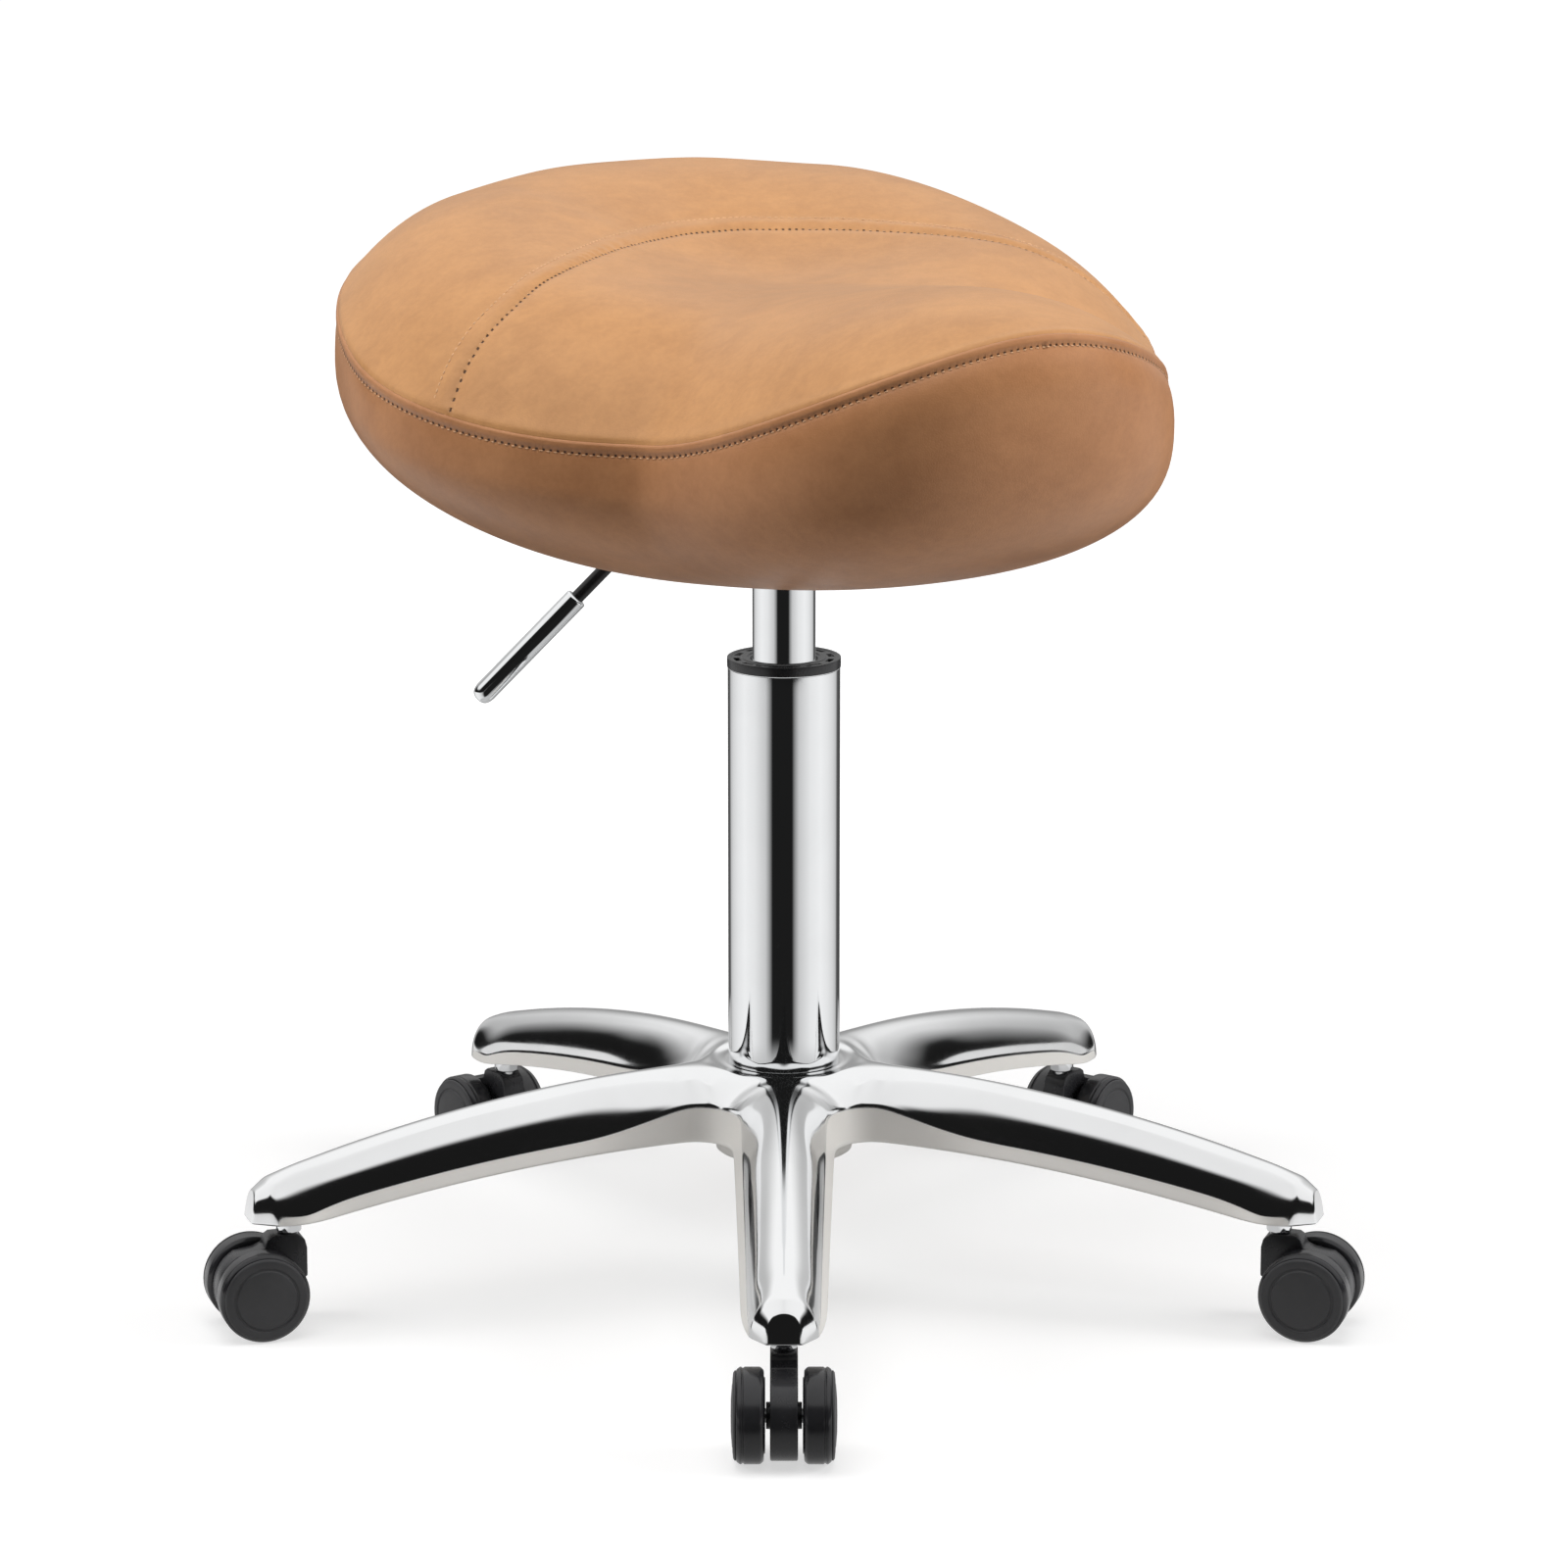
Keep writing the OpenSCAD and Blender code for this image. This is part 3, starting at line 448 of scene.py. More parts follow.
# The side's profile from the edge seam down to the recess, as (radius, rise)
def sideLine(angle):
    radius, rise, swell = station(angle, "edgeRadius"), station(angle, "edgeRise"), station(angle, "swell")
    rim, recess, turn = saddle["rim"], saddle["recess"], saddle["bandTurn"]
    line = [(radius + swell * sin(pi / 2 * u), rise - turn * u) for u in [k / 12 for k in range(13)]]
    wide, low = radius + swell, rise - turn
    across, down = 2 / station(angle, "bowlAcross"), 2 / station(angle, "bowlDown")
    for k in range(1, 41):
        a = pi / 2 * (k / 40) ** 1.15
        line.append((rim + (wide - rim) * max(cos(a), 0.0) ** across, low * (1 - sin(a) ** down)))
    line += [(recess + 2.2, 0.3), (recess + 0.8, 1.2), (recess + 0.2, 2.6), (recess, 4.5), (recess, 16),
             (recess, saddle["depth"] - 1.5)]
    return vectors(line)


def alongLine(line, places):
    made, i, runs = [], 0, runsOf(line)
    for place in places:
        while place > runs[i + 1] and i < len(line) - 2:
            i += 1
        made.append(line[i].lerp(line[i + 1], min(1.0, (place - runs[i]) / (runs[i + 1] - runs[i]))))
    return made


around = saddle["around"]
seatAngles = [360 * k / around for k in range(around)]
seamPoints = [saddlePoint(a, station(a, "edgeRadius"), station(a, "edgeRise")) for a in seatAngles]
seamRuns = runsOf(seamPoints)


# The horseshoe seam in plan, moved outwards by an offset
def horseshoe(offset):
    half = vectors((x, y, 0) for x, y in saddle["paneLine"])
    knots = half + [Vector((-point.x, point.y, 0)) for point in half[-2::-1]]
    line = []
    for i in range(1, len(knots) - 2):
        start, end = knots[i], knots[i + 1]
        lead, tail = start + (end - knots[i - 1]) / 6, end - (knots[i + 2] - start) / 6
        line += interpolate_bezier(start, lead, tail, end, 24)[:-1]
    line.append(knots[-2].copy())
    moved = []
    for i, point in enumerate(line):
        ahead = (line[min(i + 1, len(line) - 1)] - line[max(i - 1, 0)]).normalized()
        moved.append(point + Vector((-ahead.y, ahead.x, 0)) * offset)
    return moved


innerLine = horseshoe(0)
innerRuns = runsOf(innerLine)
nearLine = kdtree.KDTree(len(innerLine))
for i, point in enumerate(innerLine):
    nearLine.insert(point, i)
nearLine.balance()


# Distance from the horseshoe's inner line, positive to the rear, and the run along it
def paneGap(point):
    flat = Vector((point.x, point.y, 0))
    _, i, _ = nearLine.find(flat)
    i = min(max(i, 1), len(innerLine) - 2)
    ahead = (innerLine[i + 1] - innerLine[i - 1]).normalized()
    off = flat - innerLine[i]
    return ahead.x * off.y - ahead.y * off.x, innerRuns[i] + off.dot(ahead)


def smooth(u):
    u = max(0.0, min(1.0, u))
    return u * u * (3 - 2 * u)


# How the horseshoe seam draws the top in and swells beside it
def paneSwell(gap):
    out, deep, outer = saddle["paneOut"], saddle["paneDraw"], saddle["outerDraw"]
    if gap < 0:
        return -deep * smooth(1 + gap / 6) ** 1.5
    if gap < out:
        ridge = saddle["paneRidge"] * smooth(gap / 1.6) * (1 - smooth((gap - out + 3.5) / 3.5))
        return -deep * (1 - smooth(gap / 1.4)) + ridge - outer * smooth((gap - out + 2.5) / 2.5)
    return -outer * (1 - smooth((gap - out) / 7))


# The same for the edge seam and the row of stitches under it
def hemSwell(gap):
    row, flat = saddle["stitchRow"], saddle["stripFlat"]
    if gap < 1.0:
        return saddle["hem"] * (1 - smooth(gap)) + saddle["strip"] * smooth(gap)
    if gap < row:
        fall = smooth((gap - flat) / (row - flat))
        return saddle["strip"] * (1 - fall) - saddle["rowDraw"] * fall
    return -saddle["rowDraw"] * (1 - smooth((gap - row) / 6))


# Turns all faces so that the vertex looks along a direction
def turnFaces(bm, vert, way):
    faceOut(bm)
    bm.normal_update()
    if vert.normal.dot(way) < 0:
        bmesh.ops.reverse_faces(bm, faces=bm.faces)
        bm.normal_update()


# Rings of the top as shares of the way to the seam, and of the band in mm from the seam
topShares = [u for u in (0.02 + 0.98 * (k / 66) for k in range(67)) if u < 0.965]
topShares += [0.972, 0.980, 0.986, 0.991, 0.995, 0.998, 1.0]
bandGaps = [0, 0.4, 0.9, 1.5, 2.2, 3.0, 3.8, 4.4, 4.9, 5.3, 5.8, 6.5, 7.5, 9.0, 11.0, 13.5]
bandRest = 44       # rings of the band below those


def makeCoverTop():
    bm = bmesh.new()
    across, along = layers(bm, "paneAcross", "paneAlong")
    rows = [[saddlePoint(a, station(a, "edgeRadius") * u, topRise(a, u)) for a in seatAngles] for u in topShares]
    laid = sweep(bm, rows, closed=True)
    bm.faces.new(laid[0])
    bmesh.ops.poke(bm, faces=[face for face in bm.faces if len(face.verts) > 4])
    turnFaces(bm, laid[10][0], Vector((0, 0, 1)))
    moves = {}
    for vert in bm.verts:
        vert[across], vert[along] = paneGap(vert.co)
        moves[vert] = paneSwell(paneGap(vert.co)[0])
    for u, ring in zip(topShares, laid):
        for angle, vert in zip(seatAngles, ring):
            inwards = (1 - u) * station(angle, "edgeRadius")
            fade = smooth(inwards / 9)
            ridge = 0.4 * smooth(inwards / 1.6) * (1 - smooth((inwards - 1.6) / 3.4))
            moves[vert] = moves[vert] * (0.25 + 0.75 * fade) + saddle["hem"] * (1 - smooth(inwards / 1.2)) + ridge
    for vert, move in moves.items():
        vert.co += vert.normal * move
    piece = makePiece("coverTop", bm, atColumn, topLeather, "seat", ["cover_top"], sharp=0)
    upholster(piece)


def upholster(piece):
    wall = piece.modifiers.new("leather", "SOLIDIFY")
    wall.thickness = 0.002
    wall.offset = -1
    wall.use_even_offset = False


def makeCoverBand():
    columns = []
    for angle in seatAngles:
        line = sideLine(angle)
        rest = runsOf(line)[-1] - bandGaps[-1]
        places = bandGaps + [bandGaps[-1] + rest * k / bandRest for k in range(1, bandRest + 1)]
        columns.append([saddlePoint(angle, p.x, p.y) for p in alongLine(line, places)])
    bm = bmesh.new()
    across, along = layers(bm, "seamAcross", "seamAlong")
    laid = sweep(bm, [list(ring) for ring in zip(*columns)], closed=True)
    side = laid[12][0]
    turnFaces(bm, side, Vector((side.co.x, side.co.y, 0)))
    moves = []
    for ring, gap in zip(laid, bandGaps + [60 + k for k in range(bandRest)]):
        for vert, run in zip(ring, seamRuns):
            vert[across], vert[along] = gap, run
            moves.append((vert, hemSwell(gap)))
    for vert, move in moves:
        vert.co += vert.normal * move
    piece = makePiece("coverBand", bm, atColumn, shadedBandLeather, "seat", ["cover_band"], sharp=0)
    upholster(piece)


# Short stitches along a path of (place, outward normal)
def laidStitches(path, size, start=0.0):
    length, thick = size
    bm = bmesh.new()
    runs = runsOf([place for place, _ in path])
    i, run = 0, start
    while run < runs[-1]:
        while runs[i + 1] < run:
            i += 1
        u = (run - runs[i]) / (runs[i + 1] - runs[i])
        place = path[i][0].lerp(path[i + 1][0], u)
        normal = path[i][1].lerp(path[i + 1][1], u).normalized()
        ahead = (path[i + 1][0] - path[i][0]).normalized()
        side = normal.cross(ahead).normalized()
        axes = Matrix((ahead * length / 2, side * thick / 2, normal * thick / 2)).transposed().to_4x4()
        bmesh.ops.create_uvsphere(bm, u_segments=6, v_segments=4, radius=1,
                                  matrix=Matrix.Translation(place) @ axes @ Matrix.Rotation(pi / 2, 4, "Y"))
        run += stitches["pitch"]
    return bm


def makeHemStitches():
    path = []
    row = saddle["stitchRow"]
    middle = row + 0.55     # of the thread
    for k in range(around + 1):
        angle = seatAngles[k % around]
        low, here, high = alongLine(sideLine(angle), [row - 1, middle, row + 2])
        down = (high - low).normalized()
        turn = radians(angle)
        normal = Vector((-down.y * sin(turn), down.y * cos(turn), down.x))
        path.append((saddlePoint(angle, here.x, here.y) + normal * (hemSwell(middle) + 0.12), normal))
    bm = laidStitches(path, stitches["hem"], stitches["start"])
    makePiece("hemStitches", bm, atColumn, thread, "seat", (), sharp=0)


# A point on the top's surface over a place in plan, with its normal
def topSurface(x, y):
    angle = degrees(atan2(x, -y)) % 360
    radius = hypot(x, y)
    share = radius / station(angle, "edgeRadius")
    return saddlePoint(angle, radius, topRise(angle, min(share, 1.0))), share


def topPath(line, lift):
    path = []
    for point in line:
        here, share = topSurface(point.x, point.y)
        if share > 0.992:
            continue
        east, north = topSurface(point.x + 0.5, point.y)[0], topSurface(point.x, point.y + 0.5)[0]
        normal = (east - here).cross(north - here).normalized()
        path.append((here + normal * lift, normal))
    return path


def makePaneStitches():
    outer = topPath(horseshoe(saddle["paneOut"]), paneSwell(saddle["paneOut"]) + 0.15)
    inner = topPath(horseshoe(-0.4), paneSwell(-0.4) + 0.05)
    rows = joined(laidStitches(outer, stitches["outer"]), laidStitches(inner, stitches["inner"], stitches["start"]))
    makePiece("paneStitches", rows, atColumn, thread, "seat", (), sharp=0)


makeCoverTop()
makeCoverBand()
makeHemStitches()
makePaneStitches()
print("stage: saddle sewn")


# Star base: half a leg as a cage, mirrored, turned five times and smoothed by subdivision
star = {
    "hubTop": 103.0, "tipLow": 51.0, "bore": 25.08, "reach": 248.0, "rootHalf": 18.5, "tipHalf": 14.5,
    "crotch": 22.0, "slope": 1.9, "run": 190.0, "legStart": 35.0, "wall": 4.0, "bossLow": 62.0, "boss": 31.0,
    "topFall": 29.5, "lowFall": 24.0,   # fall of the crown and the lower edge to the tip
    "skirt": 6.5, "skirtRoot": 10.0, "skirtOut": 4.0,   # height, growth to the hub and lean
    "skirtGrows": 95.0, "draftGrows": 105.0, "growth": 50.0,    # where both start to change, and how fast
    "skirtEnd": 206.0, "skirtFade": 34.0, "lip": 0.9,   # where it fades, how fast, what stays
    "draft": 0.97, "rootDraft": 0.27,   # how far round the edge rolls, and less at the hub
    "crownShares": (0, 0.46, 0.84),     # points of a row, by the way to the edge
    "crotchShares": ((0, 0), (0.1, 0.44), (0.5, 0.80)),
    "outerRidge": ((42.5, 54), (47, 36), (52, 18), (58, 0)),    # rows round the fillet
    "innerRidge": ((40, 54), (45, 36), (50, 18), (56, 0)),
    "outerRows": (72, 92, 114, 138, 162, 186, 206, 218, 228),   # rows of the leg
    "innerRows": (70, 88, 110, 134, 158, 180, 196, 205, 210),
    "keel": 0.9, "levels": 3,
}
crotchLength = (star["rootHalf"] + star["crotch"]) / sin(radians(36))
crotchPlace, crotchOut = polar(crotchLength, 36)


def legFall(s):
    return (max(0.0, s - star["legStart"]) / star["run"]) ** star["slope"]


def legTop(s):
    return star["hubTop"] + 1 - star["topFall"] * legFall(s)


def legLow(s):
    return star["tipLow"] + star["lowFall"] * max(0.0, 1 - legFall(s))


def skirtHeight(s):
    plain = star["skirt"] + star["skirtRoot"] * smooth((star["skirtGrows"] - s) / star["growth"])
    fade = smooth((s - star["skirtEnd"]) / star["skirtFade"])
    return max(star["lip"], plain * (1 - fade) + star["lip"] * fade)


def skirtLean(s):
    plain = star["skirtOut"] * (1 - 0.3 * max(0.0, s - crotchPlace) / star["run"])
    return min(plain, 0.6 * skirtHeight(s))


def legHalf(s):
    if s < crotchPlace:
        return crotchOut - sqrt(max(0.0, star["crotch"] ** 2 - (s - crotchPlace) ** 2))
    share = 1 - (s - crotchPlace) / (star["reach"] - crotchPlace)
    return star["tipHalf"] + (star["rootHalf"] - star["tipHalf"]) * share


# Height of the crown over a place in the leg's plan
def crownHeight(s, out, inset=0.0):
    half, depth = legHalf(s), legHalf(s) - out
    if s < crotchPlace:
        half = star["rootHalf"]
        depth = hypot(s - crotchPlace, out - crotchOut) - star["crotch"]
    share = max(0.0, min(1.0, 1 - (depth - inset) / (half - inset)))
    top = legTop(s) - inset * 1.1
    draft = star["draft"] - star["rootDraft"] * smooth((star["draftGrows"] - s) / star["growth"])
    roll = (1 - sqrt(1 - (draft * share) ** 2)) / (1 - sqrt(1 - draft ** 2))
    return top - (top - creaseHeight(s, inset)) * roll


def creaseHeight(s, inset=0.0):
    return legLow(s) + skirtHeight(s) - (1.0 if inset else 0.0)


def legRow(s, inset=0.0):
    half, crease = legHalf(s) - inset, creaseHeight(s, inset)
    row = [(s, half * share, crownHeight(s, half * share, inset)) for share in star["crownShares"]]
    return vectors(row + [(s, half, crease), (s, half + skirtLean(s), legLow(s))])


def hubRow(radius, height, rolled=False):
    row = []
    for x, y in [polar(radius, 12 * step) for step in range(4)]:
        roll = legTop(x) - crownHeight(x, y) if rolled else 0.0
        row.append(Vector((x, y, height - roll)))
    return row


# Rows that fan out round the fillet between two legs, the first in their valley
def crotchRow(ridge, turn, inset=0.0):
    def onArc(reach):
        out, back = polar(reach, turn)
        return crotchPlace - back, crotchOut - out
    x, y = onArc(star["crotch"] + inset)
    plain = onArc(star["crotch"])[0]
    plan = [(ridge + (x - ridge) * along, y * across) for along, across in star["crotchShares"]]
    row = [(px, py, crownHeight(px, py, inset)) for px, py in plan]
    row += [(x, y, creaseHeight(plain, inset)), (*onArc(star["crotch"] + inset - skirtLean(plain)), legLow(plain))]
    return vectors(row)


# Moves the marked points of a cage until its smooth surface passes through their old places
def fitCage(bm, marked):
    wanted = {vert: vert.co.copy() for vert in bm.verts if vert[marked] > 0.5}
    around = {}
    for vert in wanted:
        near = [edge.other_vert(vert) for edge in vert.link_edges]
        corners = [other for face in vert.link_faces for other in face.verts if other != vert and other not in near]
        around[vert] = near, corners
    for _ in range(24):
        moved = {}
        for vert, goal in wanted.items():
            near, corners = around[vert]
            total = vert.co * len(near) ** 2
            for other in near:
                total += other.co * 4
            for other in corners:
                total += other.co
            moved[vert] = vert.co + goal - total / (len(near) * (len(near) + 5))
        for vert, place in moved.items():
            vert.co = place


# The nose: the leg's last section, the border of its flat end, and the end's middle line
noseRows = [
    [(238.8, 0, 69.9), (238.8, 6.2, 68.8), (238.6, 11.2, 64.2), (238.2, 14.2, 57.0), (238.0, 14.4, 51.0)],
    [(245.4, 0, 64.6), (245.6, 3.8, 63.8), (246.3, 6.4, 60.8), (247.2, 7.2, 56.0), (248.0, 7.3, 51.0)],
    [(245.4, 0, 64.6), (246.1, 0, 61.2), (246.8, 0, 57.8), (247.4, 0, 54.4), (248.0, 0, 51.0)],
]
noseInside = [
    [(213.0, 0, 60.5), (213.0, 3.0, 60.0), (213.0, 6.4, 58.0), (213.0, 9.0, 54.5), (213.0, 10.0, 51.6)],
    [(216.4, 0, 57.5), (216.4, 2.4, 57.0), (216.6, 4.6, 55.5), (216.8, 5.8, 53.5), (217.0, 6.0, 51.3)],
    [(216.4, 0, 57.5), (216.6, 0, 56.0), (216.8, 0, 54.5), (216.9, 0, 53.0), (217.0, 0, 51.3)],
]


def makeStarBase():
    top, inset, bossLow = star["hubTop"], star["wall"], star["bossLow"]
    outer = [crotchRow(*ridge) for ridge in star["outerRidge"]] + [legRow(s) for s in star["outerRows"]]
    inner = [crotchRow(*ridge, inset) for ridge in star["innerRidge"]]
    inner += [legRow(s, inset) for s in star["innerRows"]]
    outer += [vectors(row) for row in noseRows]
    inner += [vectors(row) for row in noseInside]
    hub = [hubRow(star["bore"], top), hubRow(27.0, top), hubRow(29.0, top - 0.3),
           hubRow(32, top + 0.2, True), hubRow(37, top + 0.8, True)]
    bore = [hub[0], hubRow(star["bore"], bossLow), hubRow(star["boss"], bossLow), hubRow(star["boss"], 83)]
    bm = bmesh.new()
    creases = bm.edges.layers.float.new("crease_edge")
    satin, marked = layers(bm, "skirtShare", "marked")
    outerLaid = sweep(bm, outer)
    hubLaid = sweep(bm, hub + [outer[0][:4]])
    innerLaid = sweep(bm, inner)
    sweep(bm, [bore[3], inner[0][:4]])
    boreLaid = sweep(bm, bore)
    rimLaid = sweep(bm, [[row[4] for row in outer], [row[4] for row in inner]])

    # how sharp each line stays, the same on both sides of a seam
    sharpness = [
        ([row[3] for row in outerLaid[:-3]], star["keel"]), ([row[3] for row in innerLaid[:-3]], 0.3),
        (outerLaid[-3], 0.45), (outerLaid[-2], 0.8),
        ([row[4] for row in outerLaid], 0.85), (rimLaid[0], 0.85),
        ([row[4] for row in innerLaid], 0.6), (rimLaid[1], 0.6),
        (hubLaid[0], 1.0), (boreLaid[0], 1.0), (hubLaid[1], 0.35), (boreLaid[1], 0.8), (boreLaid[2], 0.8),
    ]
    for verts, weight in sharpness:
        for pair in zip(verts, verts[1:]):
            bm.edges.get(pair)[creases] = weight

    def mark(layer, rows):
        for row in rows:
            for vert in row:
                vert[layer] = 1.0
    mark(satin, [row[4:] for row in outerLaid[:-3]] + innerLaid + boreLaid[1:] + rimLaid[1:] + [rimLaid[0][:-3]])
    mark(marked, [row[:3] for row in outerLaid[:-3] + innerLaid[:-3]] + hubLaid[2:5] + [hubLaid[5][:3]])
    weld(bm, 0.01)
    for vert in bm.verts:
        if abs(vert.co.y) < 0.01:
            vert.co.y = 0
    bmesh.ops.mirror(bm, geom=bm.verts[:] + bm.edges[:] + bm.faces[:], merge_dist=0.01, axis="Y")
    weld(bm, 0.02)
    bmesh.ops.spin(bm, geom=bm.verts[:] + bm.edges[:] + bm.faces[:], axis=(0, 0, 1), angle=radians(288), steps=4,
                   use_duplicate=True)
    weld(bm, 0.05)
    faceOut(bm)
    fitCage(bm, marked)
    bm.verts.layers.float.remove(marked)
    piece = makePiece("starBase", bm, atLeg(1), casting, "base", ["star_base"], sharp=0)
    rounding = piece.modifiers.new("smooth", "SUBSURF")
    rounding.levels = rounding.render_levels = star["levels"]


makeStarBase()
print("stage: base cast")


# Column, cap and gas lift
tube = {"radius": 25.0, "wall": 1.5, "foot": 62.0, "top": 283.5}
cap = {
    "bore": 15.1, "radius": 25.3, "height": 4.5, "steps": 180,
    "groove": (19.2, 23.1), "slots": 12, "slotSteps": 10,  # slots in the groove, and steps across one
    "margin": 0.55, "slope": 0.12, "depth": 1.5,   # round a slot, of its walls, and its own
}


def makeColumn():
    radius, inner = tube["radius"], tube["radius"] - tube["wall"]
    outline = [(inner, tube["foot"]), (radius, tube["foot"]), (radius, tube["top"]), (inner, tube["top"])]
    makePiece("columnTube", spun(outline, 0.35, 160, closed=True), atColumn, chrome, "base", ["column_tube"],
              sharp=50)


def makeCap():
    bore, radius, low, high = cap["bore"], cap["radius"], tube["top"], tube["top"] + cap["height"]
    outline = [(bore, low), (radius, low), (radius, high), (23.6, high), (23.3, high - 0.5), (19.0, high - 0.5),
               (18.7, high), (16.4, high), (16.1, high - 0.8), (bore, high - 0.8)]
    bm = spun(outline, 0.45, cap["steps"], closed=True)
    inside, outside = cap["groove"]
    floor = sorted((face for face in bm.faces if face.normal.z > 0.99
                    and inside < face.calc_center_median().xy.length < outside),
                   key=lambda face: atan2(face.calc_center_median().y, face.calc_center_median().x))
    each = len(floor) // cap["steps"]
    between = cap["steps"] // cap["slots"]
    for k in range(cap["slots"]):
        group = floor[k * between * each:(k * between + cap["slotSteps"]) * each]
        bmesh.ops.inset_region(bm, faces=group, thickness=cap["margin"], depth=0.0, use_even_offset=True)
        bmesh.ops.inset_region(bm, faces=group, thickness=cap["slope"], depth=-cap["depth"], use_even_offset=True)
    makePiece("columnCap", bm, atColumn, blackPlastic, "base", ["column_cap"], sharp=30)


lift = {"radius": 14.0, "wall": 1.5, "length": 270.5, "taper": 28.0, "drop": 0.75, "buttonHole": 4.05}


def makeLift():
    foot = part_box("lift_cylinder")[0].z * 1000
    top = foot + lift["length"]
    shoulder = top - lift["taper"]
    radius, inside = lift["radius"], lift["radius"] - lift["wall"]
    outline = [(inside, foot), (radius, foot), (radius, shoulder), (radius - lift["drop"], top),
               (lift["buttonHole"], top), (lift["buttonHole"], shoulder - 2), (inside, shoulder - 2)]
    makePiece("liftCylinder", spun(outline, 0.5, 128, closed=True), atColumn, chrome, "seat", ["lift_cylinder"],
              sharp=50)


makeColumn()
makeCap()
makeLift()
print("stage: column and lift")

# Lever: a flat tongue over the valve, a hub on the pin, a bent rod and a bright grip
lever = {"pivot": 34.0, "bend": 44.0, "bendRadius": 14.0, "droop": 46.0, "out": 118.0, "rod": 3.0,
         "grip": 5.0, "gripLength": 64.0, "hub": 4.9, "hubLength": 39.4, "tongue": 3.0, "pinHole": 2.55}
leverHeight = (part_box("lever_pin")[0].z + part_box("lever_pin")[1].z) * 500


def makeLever():
    pivot, bend, turn, out = lever["pivot"], lever["bend"], lever["bendRadius"], lever["out"]
    droop = radians(lever["droop"])
    low, high = leverHeight - lever["tongue"] / 2, leverHeight + lever["tongue"] / 2
    tongue = plate([(-5, low), (pivot, low), (pivot, high), (-5, high)], -5, 5)
    soften(tongue, 0.5)
    hole, wide, half = lever["pinHole"], lever["hub"], lever["hubLength"] / 2
    hub = spun([(hole, -half), (wide, -half), (wide, half), (hole, half)], 0.5, 48, closed=True)
    hub.transform(Matrix.Translation((pivot, 0, leverHeight)) @ Matrix.Rotation(pi / 2, 4, "X"))
    path = [(pivot + 3, leverHeight, 0), (bend, leverHeight, 0)]     # X, Z and lean
    for k in range(1, 13):
        a = droop * k / 12
        path.append((bend + turn * sin(a), leverHeight - turn * (1 - cos(a)), degrees(a)))
    startX, startZ, lean = path[-1]
    path.append((startX + (out - 12) * cos(droop), startZ - (out - 12) * sin(droop), lean))
    circle = vectors((0, *polar(lever["rod"], 360 * k / 32)) for k in range(32))
    rows = []
    for x, z, a in path:
        place = Matrix.Translation((x, 0, z)) @ Matrix.Rotation(radians(a), 4, "Y")
        rows.append([place @ point for point in circle])
    rod = bmesh.new()
    laid = sweep(rod, rows, closed=True)
    rod.faces.new(laid[0])
    rod.faces.new(laid[-1])
    faceOut(rod)
    makePiece("leverRod", joined(tongue, hub, rod), turned(turns["lever"]), blackSteel, "lever", ["lever_rod"],
              sharp=40)
    radius, length = lever["grip"], lever["gripLength"]
    outline = [(0, 0), (radius - 0.5, 0), (radius, 0.6), (radius, length - 5.2), (radius - 0.25, length - 3.4),
               (radius - 1.1, length - 1.5), (radius - 2.6, length - 0.35), (0, length)]
    grip = spun(outline, 1.2, 64, corners=5)
    grip.transform(Matrix.Translation((startX, 0, startZ)) @ Matrix.Rotation(pi / 2 + droop, 4, "Y")
                   @ Matrix.Translation((0, 0, out - length)))
    makePiece("leverGrip", grip, turned(turns["lever"]), chrome, "lever", ["lever_grip"], sharp=40)


makeLever()
print("stage: lever")

# Casters
caster = {"stem": 229.5, "trail": 15.0, "wheel": 20.0, "width": 12.0, "gap": 2.0, "bodyWidth": 11.5,
          "top": 44.0, "legLow": 52.0, "axle": 3.05, "dome": 2.2, "stemRadius": 5.0, "pivot": 4.0,
          # the block round the stem, from the axle
          "block": [(-22.0, 4.5), (-22.0, 17.5), (-21.0, 21.5), (-17.5, 24.0), (-6.5, 24.0), (-4.2, 22.5),
                    (-3.0, 19.0), (0.5, 17.6)]}
wheelSide = caster["bodyWidth"] / 2 + caster["gap"]
wheelPlace = Matrix.Translation((caster["stem"] + caster["trail"], 0, caster["wheel"]))
layAcross = Matrix.Rotation(-pi / 2, 4, "X")


def casterBody():
    half = caster["bodyWidth"] / 2
    arc = [polar(caster["wheel"] - 1.4, a) for a in range(60, -196, -8)]
    shape = plate(caster["block"] + arc, -half, half)
    soften(shape, 0.7, 40)
    end = half + caster["gap"] - 0.35
    boss = spun([(0, -end), (5.6, -end), (5.6, end), (0, end)], 0.3, 48, corners=2)
    boss.transform(layAcross)
    return joined(shape, boss)


def casterWheel():
    axle, radius, low, high = caster["axle"], caster["wheel"], wheelSide, wheelSide + caster["width"]
    inside, tread = ((4.5, 0), (4, 0.5), (1.4, 0.5), (0, 2)), ((0, 3.4), (0.45, 3), (0.45, 2.6), (0, 2.2), (0, 1.6))
    outline = [(axle, low)] + [(radius - deep, low + up) for deep, up in inside]
    outline += [(radius - deep, high - down) for deep, down in tread + ((1.2, 0), (4, 0))]
    outline += [(radius - 4.0, low + 4), (6.0, low + 4), (6.0, high - 2.6), (axle, high - 2.6)]
    return spun(outline, 0.7, 128, closed=True)


